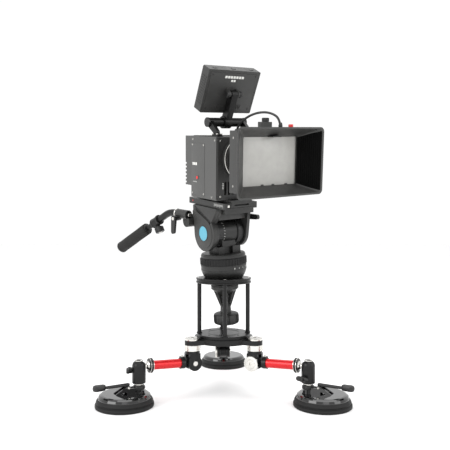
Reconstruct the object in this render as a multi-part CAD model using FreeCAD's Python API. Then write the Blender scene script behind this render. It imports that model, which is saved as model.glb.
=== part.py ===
"""Suction-cup camera support: three swivelling legs, a four-rod riser with a levelling bowl,
a fluid head with its pan handle, and a box cinema camera with matte box and flip monitor.

Millimetres and degrees.  +Z is up, +X to the right and -Y to the front.  The origin lies on the
surface under the cups, on the axis of the riser.
"""
import FreeCAD
import Part
import math
import os

Vec = FreeCAD.Vector
ALONG_X = Vec(1, 0, 0)
ALONG_Y = Vec(0, 1, 0)
ALONG_Z = Vec(0, 0, 1)

# ---- driving dimensions -------------------------------------------------------------------
RUN_FIT = 0.05            # radial clearance of a shaft in its bore
SLIDE_GAP = 0.3           # clearance of sliding and spherical faces

# legs: name, direction of the leg, side of the large knuckle cap, direction and height of the
# wing knob on the ball socket (height from the ball centre)
LEGS = (
    ("left", 210.0, -1, -30.0, -8.0),
    ("right", 330.0, -1, -105.0, -22.0),
    ("rear", 90.0, 1, -90.0, -15.0),
)
SWIVEL_RADIUS = 75.0      # riser axis to the leg's vertical swivel
SWIVEL_CAP_R = 16.0
SWIVEL_CAP_H = 4.8
SPACER_R = 16.5
SPACER_H = 12.2
SWIVEL_BOLT_R = 5.0
FORK_TOP_R = 15.5
FORK_TOP_H = 6.4
FORK_NECK_HALF = 12.0
KNUCKLE_BELOW_BASE = 37.5 # underside of the base plate to the knuckle's hinge
KNUCKLE_R = 15.5
KNUCKLE_BOLT_R = 4.0
TONGUE_HALF = 7.0
EAR_THICKNESS = 6.8
KNUCKLE_CAP_R = 15.5
KNUCKLE_CAP_H = 5.0
KNUCKLE_NUT_R = 5.2
LEG_PITCH = 3.0           # the arm rises outward by this angle
COLLAR_START = 16.5       # measured along the arm from the knuckle's hinge
COLLAR_END = 29.0
COLLAR_R = 11.5
TUBE_R = 9.25
TUBE_WALL = 2.0
TUBE_SEAT = 8.0
TUBE_END = 92.0
FLANGE_R = 14.75
FLANGE_T = 6.0
BALL_BEYOND_TUBE = 27.15
BALL_R = 9.5
NECK_R = 5.0
SOCKET_R = 13.5
SOCKET_ABOVE = 11.8       # ball centre to the top of the socket
STUD_R = 4.0
STUD_SHOULDER_R = 6.0
STUD_SHOULDER_H = 4.6
WING_SHAFT_R = 2.5
WING_SPAN = 26.0
CUP_OFFSET = 30.0         # socket stud to the centre of the suction cup
CUP_R = 57.5
CUP_SKIRT = 5.5           # the lip stands this far outside the shell
CUP_TOP_Z = 25.0
CUP_SEAT_Z = 12.0
CROWN_R = 11.0
CROWN_H = 11.0
LEVER_PIN_X = 24.0
LEVER_PIN_BELOW_CROWN = 1.0
LEVER_PIN_R = 2.2
LEVER_HALF = 4.6
LEVER_OVERHANG = 6.5      # the grip ends this far outside the cup's lip
GRIP_PAD_LENGTH = 26.0

# riser
BASE_BOTTOM_Z = 105.0
LOBE_T = 9.0
LOWER_DISC_R = 62.0
LOWER_DISC_T = 11.0
UPPER_DISC_BEYOND_RODS = 5.0
UPPER_DISC_T = 6.5
ACCESSORY_INSIDE_RODS = 9.0
ACCESSORY_HOLE_R = 2.75
ROD_R = 4.5
ROD_INSIDE_RING = 7.0
ROD_TURN = 3.0            # the rods stand this far round from the X and Y axes
ROD_COUNT = 4
ROD_LENGTH = 108.0
ROD_SCREW_R = 2.5
ROD_SCREW_HEAD_R = 4.4
ROD_SCREW_HEAD_H = 4.0
RING_OUTSIDE_BALL = 9.0
RING_H = 10.5
HALF_BALL_R = 50.0
RING_DEPTH_SHARE = 0.81   # these five are shares of the levelling ball's radius
CLAMP_CUP_SHARE = 0.59
PAD_OUTER_SHARE = 0.54
BOWL_SWING_SHARE = 0.21
PAD_SWING_SHARE = 0.16
BOWL_WALL = 2.9
PAD_T = 1.5
CLAMP_BAND_H = 6.5
CLAMP_STEM_R = 10.0
CLAMP_CONE_H = 16.5
CLAMP_STEM_H = 38.0
TIE_BOLT_R = 6.0
TIE_KNOB_R = 28.0
TIE_KNOB_H = 22.5

# head; heights are from the ball centre, in the head's own frame
HEAD_ROLL = -2.85         # lean of the head about Y
HEAD_LEAN = 4.64          # lean of the head about X, towards the front
HEAD_PAN = 34.04
HEAD_TILT = 5.85          # lens down
BALL_FLANGE_INSIDE = 1.4  # the flange's radius is smaller than the ball's by this much
BALL_FLANGE_BELOW = 9.5
BALL_FLANGE_ABOVE = 0.6
DRAG_RING_R = 50.0
DRAG_RING_H = 13.9
DRAG_SEAT_R = 38.0
PAN_PIVOT_R = 12.0
PAN_PIVOT_H = 7.3
PAN_DISC_R = 47.0
PAN_DISC_T = 8.6
FEET_H = 14.5
TILT_AXIS_Z = 69.0
TILT_SHAFT_R = 9.0
TILT_HOUSING_R = 25.0
HOUSING_LEFT_X = -12.2
HOUSING_RIGHT_X = 23.2
DIAL_R = 28.5
DIAL_LEFT_X = -28.7
DIAL_RIGHT_X = 38.4
ARM_INNER_X = 38.8
ARM_OUTER_X = 46.0
COVER_R = 38.0
RIGHT_ARM_R = 34.0
PLATFORM_OVER_AXIS = 57.5
PLATFORM_T = 12.5
UNDER_PLATE_T = 12.5
PLATFORM_HALF_WIDTH = 41.0
PLATFORM_HALF_LENGTH = 69.0
DOVETAIL_HALF = 28.0
DOVETAIL_TOP_HALF = 25.5
DOVETAIL_DEPTH = 8.9
PLATE_PROUD = 5.8         # the camera plate stands this far above the platform
LOCK_Y = -20.0
LOCK_ABOVE_AXIS = 31.0
LOCK_SCREW_R = 3.0

# pan handle, in the frame of the tilting platform
ROSETTE_Y = 58.0
ROSETTE_ABOVE_AXIS = 19.0
ROSETTE_R = 13.0
HANDLE_FROM_ROSETTE = (-4.6, 13.4)   # start of the handle's tube, along Y and Z
HANDLE_OUTSIDE_ARM = 4.3
HANDLE_YAW = 12.0         # swung outwards from straight back
HANDLE_TUBE_R = 7.8
HANDLE_STRAIGHT = 62.0
HANDLE_DROP = 31.0        # the bent part falls by this angle
HANDLE_BEND_R = 60.0
HANDLE_BENT_LENGTH = 66.0
GRIP_R = 13.5
GRIP_ROD_R = 6.0
GRIP_START = 92.0         # from the bend, along the bent part
GRIP_LENGTH = 118.0

# camera, in the frame of the tilting platform
BODY_HALF_WIDTH = 53.5
BODY_H = 126.4
BODY_FRONT_Y = -56.0
BODY_BACK_Y = 38.0
MODULE_BACK_Y = 61.0
MODULE_RISE = 23.0        # the rear module starts this far above the body's underside
FIN_COUNT = 6
FIN_PITCH = 8.0
BODY_WALL = 5.0
TOP_SOCKET_R = 4.76
TOP_SOCKET_Y = 24.0
FRONT_PLATE_T = 4.0
LENS_RISE = 83.0
MOUNT_T = 6.0
LENS_R = 34.0
FOCUS_RING_R = 38.0
FOCUS_RING_Y = (-94.0, -76.0)
BUTTON_X = -6.0
BUTTON_RISE = 30.2
BUTTON_R = 6.0
HOOD_FRONT_Y = -194.3
HOOD_BACK_Y = -160.0
HOOD_HALF = (102.0, 64.0)
HOOD_BACK_HALF = (78.0, 57.0)
FILTER_OPENING_HALF = (64.0, 46.0)
STAGE_BACK_Y = -137.0
TRAY_HALF = (73.0, 52.0)
TRAY_T = 6.0
TRAY_FRONT_Y = -156.0
TUBE_AXIS_Y = -15.6
TUBE_ABOVE_BODY = 28.2
MONITOR_TUBE_R = 9.0
MONITOR_TUBE_X = (-47.0, 41.0)
MONITOR_FROM_TUBE = (-3.6, -16.3, 59.8)
MONITOR_LEAN = 23.9
MONITOR_SIZE = (124.5, 24.0, 89.5)
MONITOR_PIVOT_GAP = 12.0
CABLE_R = 2.3

# ---- sizes that follow ----------------------------------------------------------------------
KNUCKLE_Z = BASE_BOTTOM_Z - KNUCKLE_BELOW_BASE
BALL_ALONG_ARM = TUBE_END + BALL_BEYOND_TUBE
BALL_Z = KNUCKLE_Z + BALL_ALONG_ARM * math.sin(math.radians(LEG_PITCH))
CUP_SHELL_R = CUP_R - CUP_SKIRT
CROWN_TOP_Z = CUP_TOP_Z + CROWN_H
SOCKET_BELOW = BALL_Z - CROWN_TOP_Z - STUD_SHOULDER_H - SLIDE_GAP
LEVER_PIN_Z = CROWN_TOP_Z - LEVER_PIN_BELOW_CROWN
LEVER_REACH = CUP_OFFSET + CUP_R + LEVER_OVERHANG

RING_R = HALF_BALL_R + RING_OUTSIDE_BALL
ROD_CIRCLE_R = RING_R - ROD_INSIDE_RING
UPPER_DISC_R = ROD_CIRCLE_R + UPPER_DISC_BEYOND_RODS
ACCESSORY_CIRCLE_R = ROD_CIRCLE_R - ACCESSORY_INSIDE_RODS
LOBE_TOP_Z = BASE_BOTTOM_Z + LOBE_T
LOWER_DISC_TOP_Z = BASE_BOTTOM_Z + LOWER_DISC_T
UPPER_DISC_TOP_Z = LOWER_DISC_TOP_Z + UPPER_DISC_T
BALL_CENTRE_Z = UPPER_DISC_TOP_Z + ROD_LENGTH + RING_DEPTH_SHARE * HALF_BALL_R
BOWL_SEAT_R = HALF_BALL_R + SLIDE_GAP
BOWL_BACK_R = BOWL_SEAT_R + BOWL_WALL
BOWL_HOLE_R = TIE_BOLT_R + BOWL_SWING_SHARE * HALF_BALL_R
PAD_HOLE_R = TIE_BOLT_R + PAD_SWING_SHARE * HALF_BALL_R
PAD_OUTER_R = PAD_OUTER_SHARE * HALF_BALL_R
CLAMP_CUP_R = CLAMP_CUP_SHARE * HALF_BALL_R
CLAMP_SEAT_R = BOWL_BACK_R + 2 * SLIDE_GAP + PAD_T
CLAMP_RIM_Z = -math.sqrt(CLAMP_SEAT_R ** 2 - CLAMP_CUP_R ** 2)
CLAMP_STEM_TOP = CLAMP_RIM_Z - CLAMP_BAND_H - CLAMP_CONE_H
CLAMP_STEM_END = CLAMP_STEM_TOP - CLAMP_STEM_H

BALL_FLANGE_R = HALF_BALL_R - BALL_FLANGE_INSIDE
DRAG_RING_BOTTOM = BALL_FLANGE_ABOVE + SLIDE_GAP
SPINDLE_TOP = DRAG_RING_BOTTOM + DRAG_RING_H + SLIDE_GAP
PAN_DISC_BOTTOM = SPINDLE_TOP + SLIDE_GAP
PAN_DISC_TOP = PAN_DISC_BOTTOM + PAN_DISC_T
COVER_INNER_X = DIAL_LEFT_X - 0.4
PLATFORM_BOTTOM = TILT_AXIS_Z + PLATFORM_OVER_AXIS
PLATFORM_TOP = PLATFORM_BOTTOM + PLATFORM_T
DOVETAIL_FLOOR = PLATFORM_TOP - DOVETAIL_DEPTH
LOCK_Z = TILT_AXIS_Z + LOCK_ABOVE_AXIS
ROSETTE_Z = TILT_AXIS_Z + ROSETTE_ABOVE_AXIS
HANDLE_START = (-ARM_OUTER_X - HANDLE_OUTSIDE_ARM, ROSETTE_Y + HANDLE_FROM_ROSETTE[0],
                ROSETTE_Z + HANDLE_FROM_ROSETTE[1])

BODY_BOTTOM = PLATFORM_TOP + PLATE_PROUD
BODY_TOP = BODY_BOTTOM + BODY_H
MODULE_BOTTOM = BODY_BOTTOM + MODULE_RISE
LENS_Z = BODY_BOTTOM + LENS_RISE
BUTTON_Z = BODY_BOTTOM + BUTTON_RISE
LENS_FRONT_Y = STAGE_BACK_Y
STAGE_TOP = LENS_Z + HOOD_BACK_HALF[1]
TUBE_AXIS_Z = BODY_TOP + TUBE_ABOVE_BODY
MONITOR_CENTRE = (MONITOR_FROM_TUBE[0], TUBE_AXIS_Y + MONITOR_FROM_TUBE[1], TUBE_AXIS_Z + MONITOR_FROM_TUBE[2])


# ---- shape helpers ------------------------------------------------------------------------
def bar(radius, start, end):
    """Round bar between two points."""
    axis = Vec(*end) - Vec(*start)
    return Part.makeCylinder(radius, axis.Length, Vec(*start), axis)


def taper(start_radius, end_radius, start, end):
    """Round taper between two points."""
    axis = Vec(*end) - Vec(*start)
    return Part.makeCone(start_radius, end_radius, axis.Length, Vec(*start), axis)


def block(x_span, y_span, z_span):
    """Box between pairs of coordinates."""
    size = [span[1] - span[0] for span in (x_span, y_span, z_span)]
    return Part.makeBox(*size, Vec(x_span[0], y_span[0], z_span[0]))


def turned(profile):
    """Solid of revolution about Z from a closed outline of (radius, height) points."""
    points = [Vec(radius, 0, height) for radius, height in profile]
    outline = Part.Face(Part.makePolygon(points + points[:1]))
    return outline.revolve(Vec(0, 0, 0), ALONG_Z, 360)


def joined(*shapes):
    """One solid from pieces that meet."""
    return shapes[0].multiFuse(list(shapes[1:])).removeSplitter()


def moved(shape, offset):
    """Copy of a shape, shifted."""
    copy = shape.copy()
    copy.translate(Vec(*offset))
    return copy


def turned_about(shape, centre, axis, angle):
    """Copy of a shape, turned about a line."""
    copy = shape.copy()
    copy.rotate(Vec(*centre), axis, angle)
    return copy


def belt_x(x_span, centre_a, radius_a, centre_b, radius_b):
    """Plate across X whose outline wraps two circles given by their (y, z) centres."""
    run_y = centre_b[0] - centre_a[0]
    run_z = centre_b[1] - centre_a[1]
    distance = math.hypot(run_y, run_z)
    heading = math.atan2(run_z, run_y)
    spread = math.acos((radius_a - radius_b) / distance)

    def rim(centre, radius, angle):
        return Vec(x_span[0], centre[0] + radius * math.cos(angle), centre[1] + radius * math.sin(angle))

    a_left = rim(centre_a, radius_a, heading + spread)
    a_far = rim(centre_a, radius_a, heading + math.pi)
    a_right = rim(centre_a, radius_a, heading - spread)
    b_left = rim(centre_b, radius_b, heading + spread)
    b_far = rim(centre_b, radius_b, heading)
    b_right = rim(centre_b, radius_b, heading - spread)
    edges = [
        Part.Arc(a_left, a_far, a_right).toShape(),
        Part.LineSegment(a_right, b_right).toShape(),
        Part.Arc(b_right, b_far, b_left).toShape(),
        Part.LineSegment(b_left, a_left).toShape(),
    ]
    return Part.Face(Part.Wire(edges)).extrude(Vec(x_span[1] - x_span[0], 0, 0))


def belt_y(y_span, centre_a, radius_a, centre_b, radius_b):
    """Plate across Y whose outline wraps two circles given by their (x, z) centres."""
    plate = belt_x((-y_span[1], -y_span[0]), centre_a, radius_a, centre_b, radius_b)
    return turned_about(plate, (0, 0, 0), ALONG_Z, -90)


def belt_z(z_span, centre_a, radius_a, centre_b, radius_b):
    """Plate across Z whose outline wraps two circles given by their (x, y) centres."""
    plate = belt_x(z_span, centre_a, radius_a, centre_b, radius_b)
    cyclic = FreeCAD.Matrix(0, 1, 0, 0, 0, 0, 1, 0, 1, 0, 0, 0, 0, 0, 0, 1)
    return plate.transformGeometry(cyclic)


def rounded_frame(half, corner, y, centre_z):
    """Closed rounded rectangle in the X-Z plane at one Y, centred on X = 0."""
    half_x, half_z = half
    start = half_x - corner
    rise = half_z - corner
    diagonal = corner * math.sqrt(0.5)
    corners = ((start, rise, 0), (-start, rise, 90), (-start, -rise, 180), (start, -rise, 270))
    edges = []
    for index, (x, z, heading) in enumerate(corners):
        first = Vec(x + corner * math.cos(math.radians(heading)), y,
                    centre_z + z + corner * math.sin(math.radians(heading)))
        middle = Vec(x + diagonal * (1 if x > 0 else -1), y,
                     centre_z + z + diagonal * (1 if z > 0 else -1))
        last = Vec(x + corner * math.cos(math.radians(heading + 90)), y,
                   centre_z + z + corner * math.sin(math.radians(heading + 90)))
        edges.append(Part.Arc(first, middle, last).toShape())
        next_x, next_z, next_heading = corners[(index + 1) % 4]
        following = Vec(next_x + corner * math.cos(math.radians(next_heading)), y,
                        centre_z + next_z + corner * math.sin(math.radians(next_heading)))
        edges.append(Part.LineSegment(last, following).toShape())
    return Part.Wire(edges)


def rounded_block(x_span, y_span, z_span, corner):
    """Box whose four edges along Z are rounded."""
    shape = block(x_span, y_span, z_span)
    upright = [edge for edge in shape.Edges
               if abs(edge.Vertexes[0].Z - edge.Vertexes[1].Z) > 1e-6]
    return shape.makeFillet(corner, upright)


def smooth_path(points, radii):
    """Straight runs through the points, joined by tangent arcs of the given radii."""
    points = [Vec(*point) for point in points]
    edges = []
    start = points[0]
    for index, radius in enumerate(radii, start=1):
        before = (points[index - 1] - points[index]).normalize()
        after = (points[index + 1] - points[index]).normalize()
        half_angle = before.getAngle(after) / 2
        cut_back = radius / math.tan(half_angle)
        arc_start = points[index] + before * cut_back
        arc_end = points[index] + after * cut_back
        bisector = (before + after).normalize()
        centre = points[index] + bisector * (radius / math.sin(half_angle))
        arc_middle = centre - bisector * radius
        edges.append(Part.LineSegment(start, arc_start).toShape())
        edges.append(Part.Arc(arc_start, arc_middle, arc_end).toShape())
        start = arc_end
    edges.append(Part.LineSegment(start, points[-1]).toShape())
    return Part.Wire(edges)


def round_sweep(path, radius):
    """Round bar along a path of lines and tangent arcs."""
    first = path.Edges[0]
    start = first.valueAt(first.FirstParameter)
    heading = first.tangentAt(first.FirstParameter)
    section = Part.Wire([Part.makeCircle(radius, start, heading)])
    return path.makePipeShell([section], True, False)


# ---- frames -------------------------------------------------------------------------------
def frame(offset, axis=ALONG_Z, angle=0.0):
    """Placement that turns by an angle about an axis, then shifts."""
    return FreeCAD.Placement(Vec(*offset), FreeCAD.Rotation(axis, angle))


def leg_frames(heading):
    """Frames of a leg: upright at the swivel, along the arm, and upright at the ball."""
    leg = frame((0, 0, 0), ALONG_Z, heading)
    arm = leg.multiply(frame((SWIVEL_RADIUS, 0, KNUCKLE_Z), ALONG_Y, -LEG_PITCH))
    reach = BALL_ALONG_ARM * math.cos(math.radians(LEG_PITCH))
    ball_x = SWIVEL_RADIUS + reach
    socket = leg.multiply(frame((ball_x, 0, BALL_Z)))
    return {"leg": leg, "arm": arm, "socket": socket, "cup": leg.multiply(frame((ball_x, 0, 0)))}


BASE = frame((0, 0, 0))
PAD = frame((0, 0, BALL_CENTRE_Z), ALONG_Y, HEAD_ROLL)
HEAD = PAD.multiply(frame((0, 0, 0), ALONG_X, HEAD_LEAN))
PAN = HEAD.multiply(frame((0, 0, 0), ALONG_Z, HEAD_PAN))
TILT_PIVOT = PAN.multiply(frame((0, 0, TILT_AXIS_Z), ALONG_X, HEAD_TILT))
TILT = TILT_PIVOT.multiply(frame((0, 0, -TILT_AXIS_Z)))


# ---- leg ----------------------------------------------------------------------------------
def swivel_bolts(cap_side):
    """Swivel bolt with its cap, the spacer under the lobe, and the knuckle's hinge bolt."""
    spacer_top = BASE_BOTTOM_Z - 0.2
    spacer_bottom = spacer_top - SPACER_H
    cap_bottom = LOBE_TOP_Z + 0.2
    cap = bar(SWIVEL_CAP_R, (SWIVEL_RADIUS, 0, cap_bottom), (SWIVEL_RADIUS, 0, cap_bottom + SWIVEL_CAP_H))
    cap = cap.makeChamfer(0.8, [edge for edge in cap.Edges if edge.BoundBox.ZMin > cap_bottom + 1])
    shank = bar(SWIVEL_BOLT_R, (SWIVEL_RADIUS, 0, spacer_bottom - FORK_TOP_H), (SWIVEL_RADIUS, 0, cap_bottom))
    socket = bar(3.6, (SWIVEL_RADIUS, 0, cap_bottom + 2.0), (SWIVEL_RADIUS, 0, cap_bottom + 6.0))
    bolt = joined(cap, shank).cut(socket)
    spacer = bar(SPACER_R, (SWIVEL_RADIUS, 0, spacer_bottom), (SWIVEL_RADIUS, 0, spacer_top))
    spacer = spacer.cut(bar(SWIVEL_BOLT_R + RUN_FIT, (SWIVEL_RADIUS, 0, spacer_bottom),
                            (SWIVEL_RADIUS, 0, spacer_top)))
    ear_face = TONGUE_HALF + 0.2 + EAR_THICKNESS
    at = (SWIVEL_RADIUS, KNUCKLE_Z)
    head = bar(KNUCKLE_CAP_R, (at[0], cap_side * ear_face, at[1]),
               (at[0], cap_side * (ear_face + KNUCKLE_CAP_H), at[1]))
    head = head.cut(bar(3.6, (at[0], cap_side * (ear_face + 2.5), at[1]),
                        (at[0], cap_side * (ear_face + 6.0), at[1])))
    pin = bar(KNUCKLE_BOLT_R, (at[0], cap_side * ear_face, at[1]), (at[0], -cap_side * ear_face, at[1]))
    nut = bar(KNUCKLE_NUT_R, (at[0], -cap_side * ear_face, at[1]), (at[0], -cap_side * (ear_face + 1.6), at[1]))
    return Part.makeCompound([bolt, spacer, joined(head, pin, nut)])


def fork():
    """Clevis that hangs from the swivel: a round top with two ears down to the knuckle."""
    top_z = BASE_BOTTOM_Z - 0.2 - SPACER_H
    under_z = top_z - FORK_TOP_H
    top = bar(FORK_TOP_R, (SWIVEL_RADIUS, 0, under_z), (SWIVEL_RADIUS, 0, top_z))
    inner = TONGUE_HALF + 0.2
    outer = inner + EAR_THICKNESS
    pieces = [top]
    for near, far in ((-outer, -inner), (inner, outer)):
        pieces.append(bar(KNUCKLE_R, (SWIVEL_RADIUS, near, KNUCKLE_Z), (SWIVEL_RADIUS, far, KNUCKLE_Z)))
        neck_span = (SWIVEL_RADIUS - FORK_NECK_HALF, SWIVEL_RADIUS + FORK_NECK_HALF)
        pieces.append(block(neck_span, (near, far), (KNUCKLE_Z, under_z + 1.0)))
    bolt_hole = bar(SWIVEL_BOLT_R + RUN_FIT, (SWIVEL_RADIUS, 0, under_z - 1), (SWIVEL_RADIUS, 0, top_z + 1))
    hinge_hole = bar(KNUCKLE_BOLT_R + RUN_FIT, (SWIVEL_RADIUS, -outer - 1, KNUCKLE_Z),
                     (SWIVEL_RADIUS, outer + 1, KNUCKLE_Z))
    return joined(*pieces).cut(bolt_hole).cut(hinge_hole)


def collar():
    """Tongue of the knuckle and the split collar that clamps the tube, in the arm's frame."""
    tongue = belt_y((-TONGUE_HALF, TONGUE_HALF), (0, 0), KNUCKLE_R - 2.0, (COLLAR_START + 2, 0), 8.0)
    shoulder = taper(8.0, COLLAR_R, (COLLAR_START, 0, 0), (COLLAR_START + 3.5, 0, 0))
    sleeve = bar(COLLAR_R, (COLLAR_START + 3.5, 0, 0), (COLLAR_END, 0, 0))
    lug_span = (COLLAR_END - 8.0, COLLAR_END)
    lug = block(lug_span, (-4.5, 4.5), (COLLAR_R - 2.0, COLLAR_R + 2.0))
    shape = joined(tongue, shoulder, sleeve, lug)
    hinge_hole = bar(KNUCKLE_BOLT_R + RUN_FIT, (0, -COLLAR_R, 0), (0, COLLAR_R, 0))
    tube_hole = bar(TUBE_R + RUN_FIT, (COLLAR_END - TUBE_SEAT, 0, 0), (COLLAR_END + 1, 0, 0))
    split = block((COLLAR_END - TUBE_SEAT, COLLAR_END + 1), (-0.7, 0.7), (0, COLLAR_R + 3))
    return shape.cut(hinge_hole).cut(tube_hole).cut(split)


def arm_tube():
    """Anodised tube between the collar and the ball stem."""
    start = COLLAR_END - TUBE_SEAT
    outside = bar(TUBE_R, (start, 0, 0), (TUBE_END, 0, 0))
    return outside.cut(bar(TUBE_R - TUBE_WALL, (start - 1, 0, 0), (TUBE_END + 1, 0, 0)))


def ball_stem():
    """Plug in the tube's end, flange, tapered spigot, neck and ball."""
    flange_end = TUBE_END + FLANGE_T
    neck_start = BALL_ALONG_ARM - SOCKET_R - 1.2
    plug = bar(TUBE_R - TUBE_WALL - RUN_FIT, (TUBE_END - 12.0, 0, 0), (TUBE_END, 0, 0))
    flange = bar(FLANGE_R, (TUBE_END, 0, 0), (flange_end, 0, 0))
    spigot = bar(TUBE_R, (flange_end, 0, 0), (flange_end + 2.0, 0, 0))
    cone = taper(TUBE_R, NECK_R, (flange_end + 2.0, 0, 0), (neck_start, 0, 0))
    neck = bar(NECK_R, (neck_start, 0, 0), (BALL_ALONG_ARM, 0, 0))
    ball = Part.makeSphere(BALL_R, Vec(BALL_ALONG_ARM, 0, 0))
    return joined(plug, flange, spigot, cone, neck, ball)


def ball_socket(wing_heading, wing_height):
    """Upright socket round the ball, slotted towards the arm, with the stud for the cup."""
    dome_start = SOCKET_ABOVE - 9.0
    outline = turned([(0, -SOCKET_BELOW), (SOCKET_R - 1, -SOCKET_BELOW), (SOCKET_R, 1 - SOCKET_BELOW),
                      (SOCKET_R, dome_start), (SOCKET_R - 1.5, dome_start + 4.5),
                      (SOCKET_R - 5.0, SOCKET_ABOVE - 1.5), (SOCKET_R - 8.5, SOCKET_ABOVE),
                      (0, SOCKET_ABOVE)])
    shoulder_end = -SOCKET_BELOW - STUD_SHOULDER_H
    shoulder = bar(STUD_SHOULDER_R, (0, 0, shoulder_end), (0, 0, 1 - SOCKET_BELOW))
    stud = bar(STUD_R, (0, 0, shoulder_end - 9.0), (0, 0, shoulder_end))
    shape = joined(outline, shoulder, stud)
    cavity = Part.makeSphere(BALL_R + SLIDE_GAP)
    mouth_r = NECK_R + 1.6
    mouth = bar(mouth_r, (0, 0, 0), (0, 0, SOCKET_ABOVE + 1))
    slot = block((-SOCKET_R - 1, 0), (-mouth_r, mouth_r), (-12.0, SOCKET_ABOVE + 1))
    direction = Vec(math.cos(math.radians(wing_heading)), math.sin(math.radians(wing_heading)), 0)
    lift = Vec(0, 0, wing_height)
    thread = bar(WING_SHAFT_R + RUN_FIT, tuple(direction * 8.4 + lift), tuple(direction * (SOCKET_R + 1) + lift))
    return shape.cut(cavity).cut(mouth).cut(slot).cut(thread)


def wing_knob(wing_heading, wing_height):
    """Wing screw that squeezes the socket: shaft, hub and a flat wing across it."""
    hub_start = SOCKET_R + 0.3
    shaft = bar(WING_SHAFT_R, (8.8, 0, 0), (hub_start, 0, 0))
    hub = bar(4.8, (hub_start, 0, 0), (hub_start + 7.0, 0, 0))
    wing = belt_x((hub_start + 3.5, hub_start + 9.5), (-WING_SPAN / 2 + 4.5, 0), 4.5, (WING_SPAN / 2 - 4.5, 0), 4.5)
    shape = turned_about(joined(shaft, hub, wing), (0, 0, 0), ALONG_Z, wing_heading)
    return moved(shape, (0, 0, wing_height))


def suction_shell():
    """Hard shell of the cup with the crown nut seat and the lever's two cheeks."""
    shell = turned([(0, CUP_SEAT_Z), (CUP_SHELL_R - 1, CUP_SEAT_Z), (CUP_SHELL_R, CUP_SEAT_Z + 1),
                    (CUP_SHELL_R, CUP_TOP_Z - 6.5), (CUP_SHELL_R - 2.2, CUP_TOP_Z - 2.6),
                    (CUP_SHELL_R - 5.5, CUP_TOP_Z - 0.6), (CUP_SHELL_R - 9.0, CUP_TOP_Z), (0, CUP_TOP_Z)])
    shell = moved(shell, (CUP_OFFSET, 0, 0))
    crown = bar(CROWN_R, (0, 0, CUP_TOP_Z - 3), (0, 0, CROWN_TOP_Z))
    cheeks = []
    for near, far in ((-LEVER_HALF - 3.3, -LEVER_HALF - 0.3), (LEVER_HALF + 0.3, LEVER_HALF + 3.3)):
        cheek = belt_y((near, far), (LEVER_PIN_X, LEVER_PIN_Z), 4.6, (LEVER_PIN_X + 24.0, CUP_TOP_Z), 2.0)
        root = block((CROWN_R - 5.0, LEVER_PIN_X + 4.0), (near, far), (CUP_TOP_Z - 1, LEVER_PIN_Z - 1.0))
        cheeks += [cheek, root]
    pin_ends = bar(LEVER_PIN_R, (LEVER_PIN_X, -LEVER_HALF - 4.2, LEVER_PIN_Z),
                   (LEVER_PIN_X, LEVER_HALF + 4.2, LEVER_PIN_Z))
    shape = joined(shell, crown, *cheeks, pin_ends)
    return shape.cut(bar(STUD_R + RUN_FIT, (0, 0, CROWN_TOP_Z - 10.0), (0, 0, CROWN_TOP_Z + 1)))


def suction_rubber():
    """Rubber cup under the shell: skirt, groove and sealing lip, slightly hollow beneath."""
    profile = [(0, 3.6), (0, CUP_SEAT_Z), (CUP_SHELL_R - 1, CUP_SEAT_Z), (CUP_SHELL_R + 0.05, CUP_SEAT_Z),
               (CUP_SHELL_R + 0.05, CUP_SEAT_Z + 5), (CUP_SHELL_R + 1, CUP_SEAT_Z + 5),
               (CUP_R - 2.5, 10.0), (CUP_R - 3.0, 8.8), (CUP_R, 6.5), (CUP_R, 1.2), (CUP_R - 1, 0),
               (CUP_R - 4, 0), (CUP_R - 10, 2.2)]
    return moved(turned(profile), (CUP_OFFSET, 0, 0))


def cup_lever():
    """Cam lever: cam round the pin, flat bar and an oval grip beyond the cup."""
    cam = bar(4.4, (LEVER_PIN_X, -LEVER_HALF, LEVER_PIN_Z), (LEVER_PIN_X, LEVER_HALF, LEVER_PIN_Z))
    bar_start = LEVER_PIN_X - 2.0
    grip_start = LEVER_REACH - GRIP_PAD_LENGTH
    beam = block((bar_start, grip_start + 3.0), (-LEVER_HALF, LEVER_HALF), (LEVER_PIN_Z + 1.0, LEVER_PIN_Z + 8.0))
    grip_z = LEVER_PIN_Z + 6.5
    grip = belt_z((grip_z - 6.0, grip_z + 6.0), (grip_start + 6.5, 0), 6.5, (LEVER_REACH - 8.0, 0), 8.0)
    grip = grip.makeFillet(4.0, grip.Edges)
    pin_hole = bar(LEVER_PIN_R + RUN_FIT, (LEVER_PIN_X, -LEVER_HALF - 1, LEVER_PIN_Z),
                   (LEVER_PIN_X, LEVER_HALF + 1, LEVER_PIN_Z))
    return joined(cam, beam, grip).cut(pin_hole)


def leg_nodes(name, heading, cap_side, wing_heading, wing_height):
    """Every piece of one leg with its frame."""
    frames = leg_frames(heading)
    return {
        f"leg_{name}_swivel_bolts": (swivel_bolts(cap_side), frames["leg"]),
        f"leg_{name}_fork": (fork(), frames["leg"]),
        f"leg_{name}_collar": (collar(), frames["arm"]),
        f"leg_{name}_tube": (arm_tube(), frames["arm"]),
        f"leg_{name}_ball_stem": (ball_stem(), frames["arm"]),
        f"leg_{name}_socket": (ball_socket(wing_heading, wing_height), frames["socket"]),
        f"leg_{name}_wing_knob": (wing_knob(wing_heading, wing_height), frames["socket"]),
        f"leg_{name}_cup_shell": (suction_shell(), frames["cup"]),
        f"leg_{name}_cup_rubber": (suction_rubber(), frames["cup"]),
        f"leg_{name}_cup_lever": (cup_lever(), frames["cup"]),
    }


# ---- riser and levelling bowl -------------------------------------------------------------
def rod_centres():
    """Plan positions of the riser's rods."""
    angles = [math.radians(ROD_TURN + 360.0 * index / ROD_COUNT) for index in range(ROD_COUNT)]
    return [(ROD_CIRCLE_R * math.cos(angle), ROD_CIRCLE_R * math.sin(angle)) for angle in angles]


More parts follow.
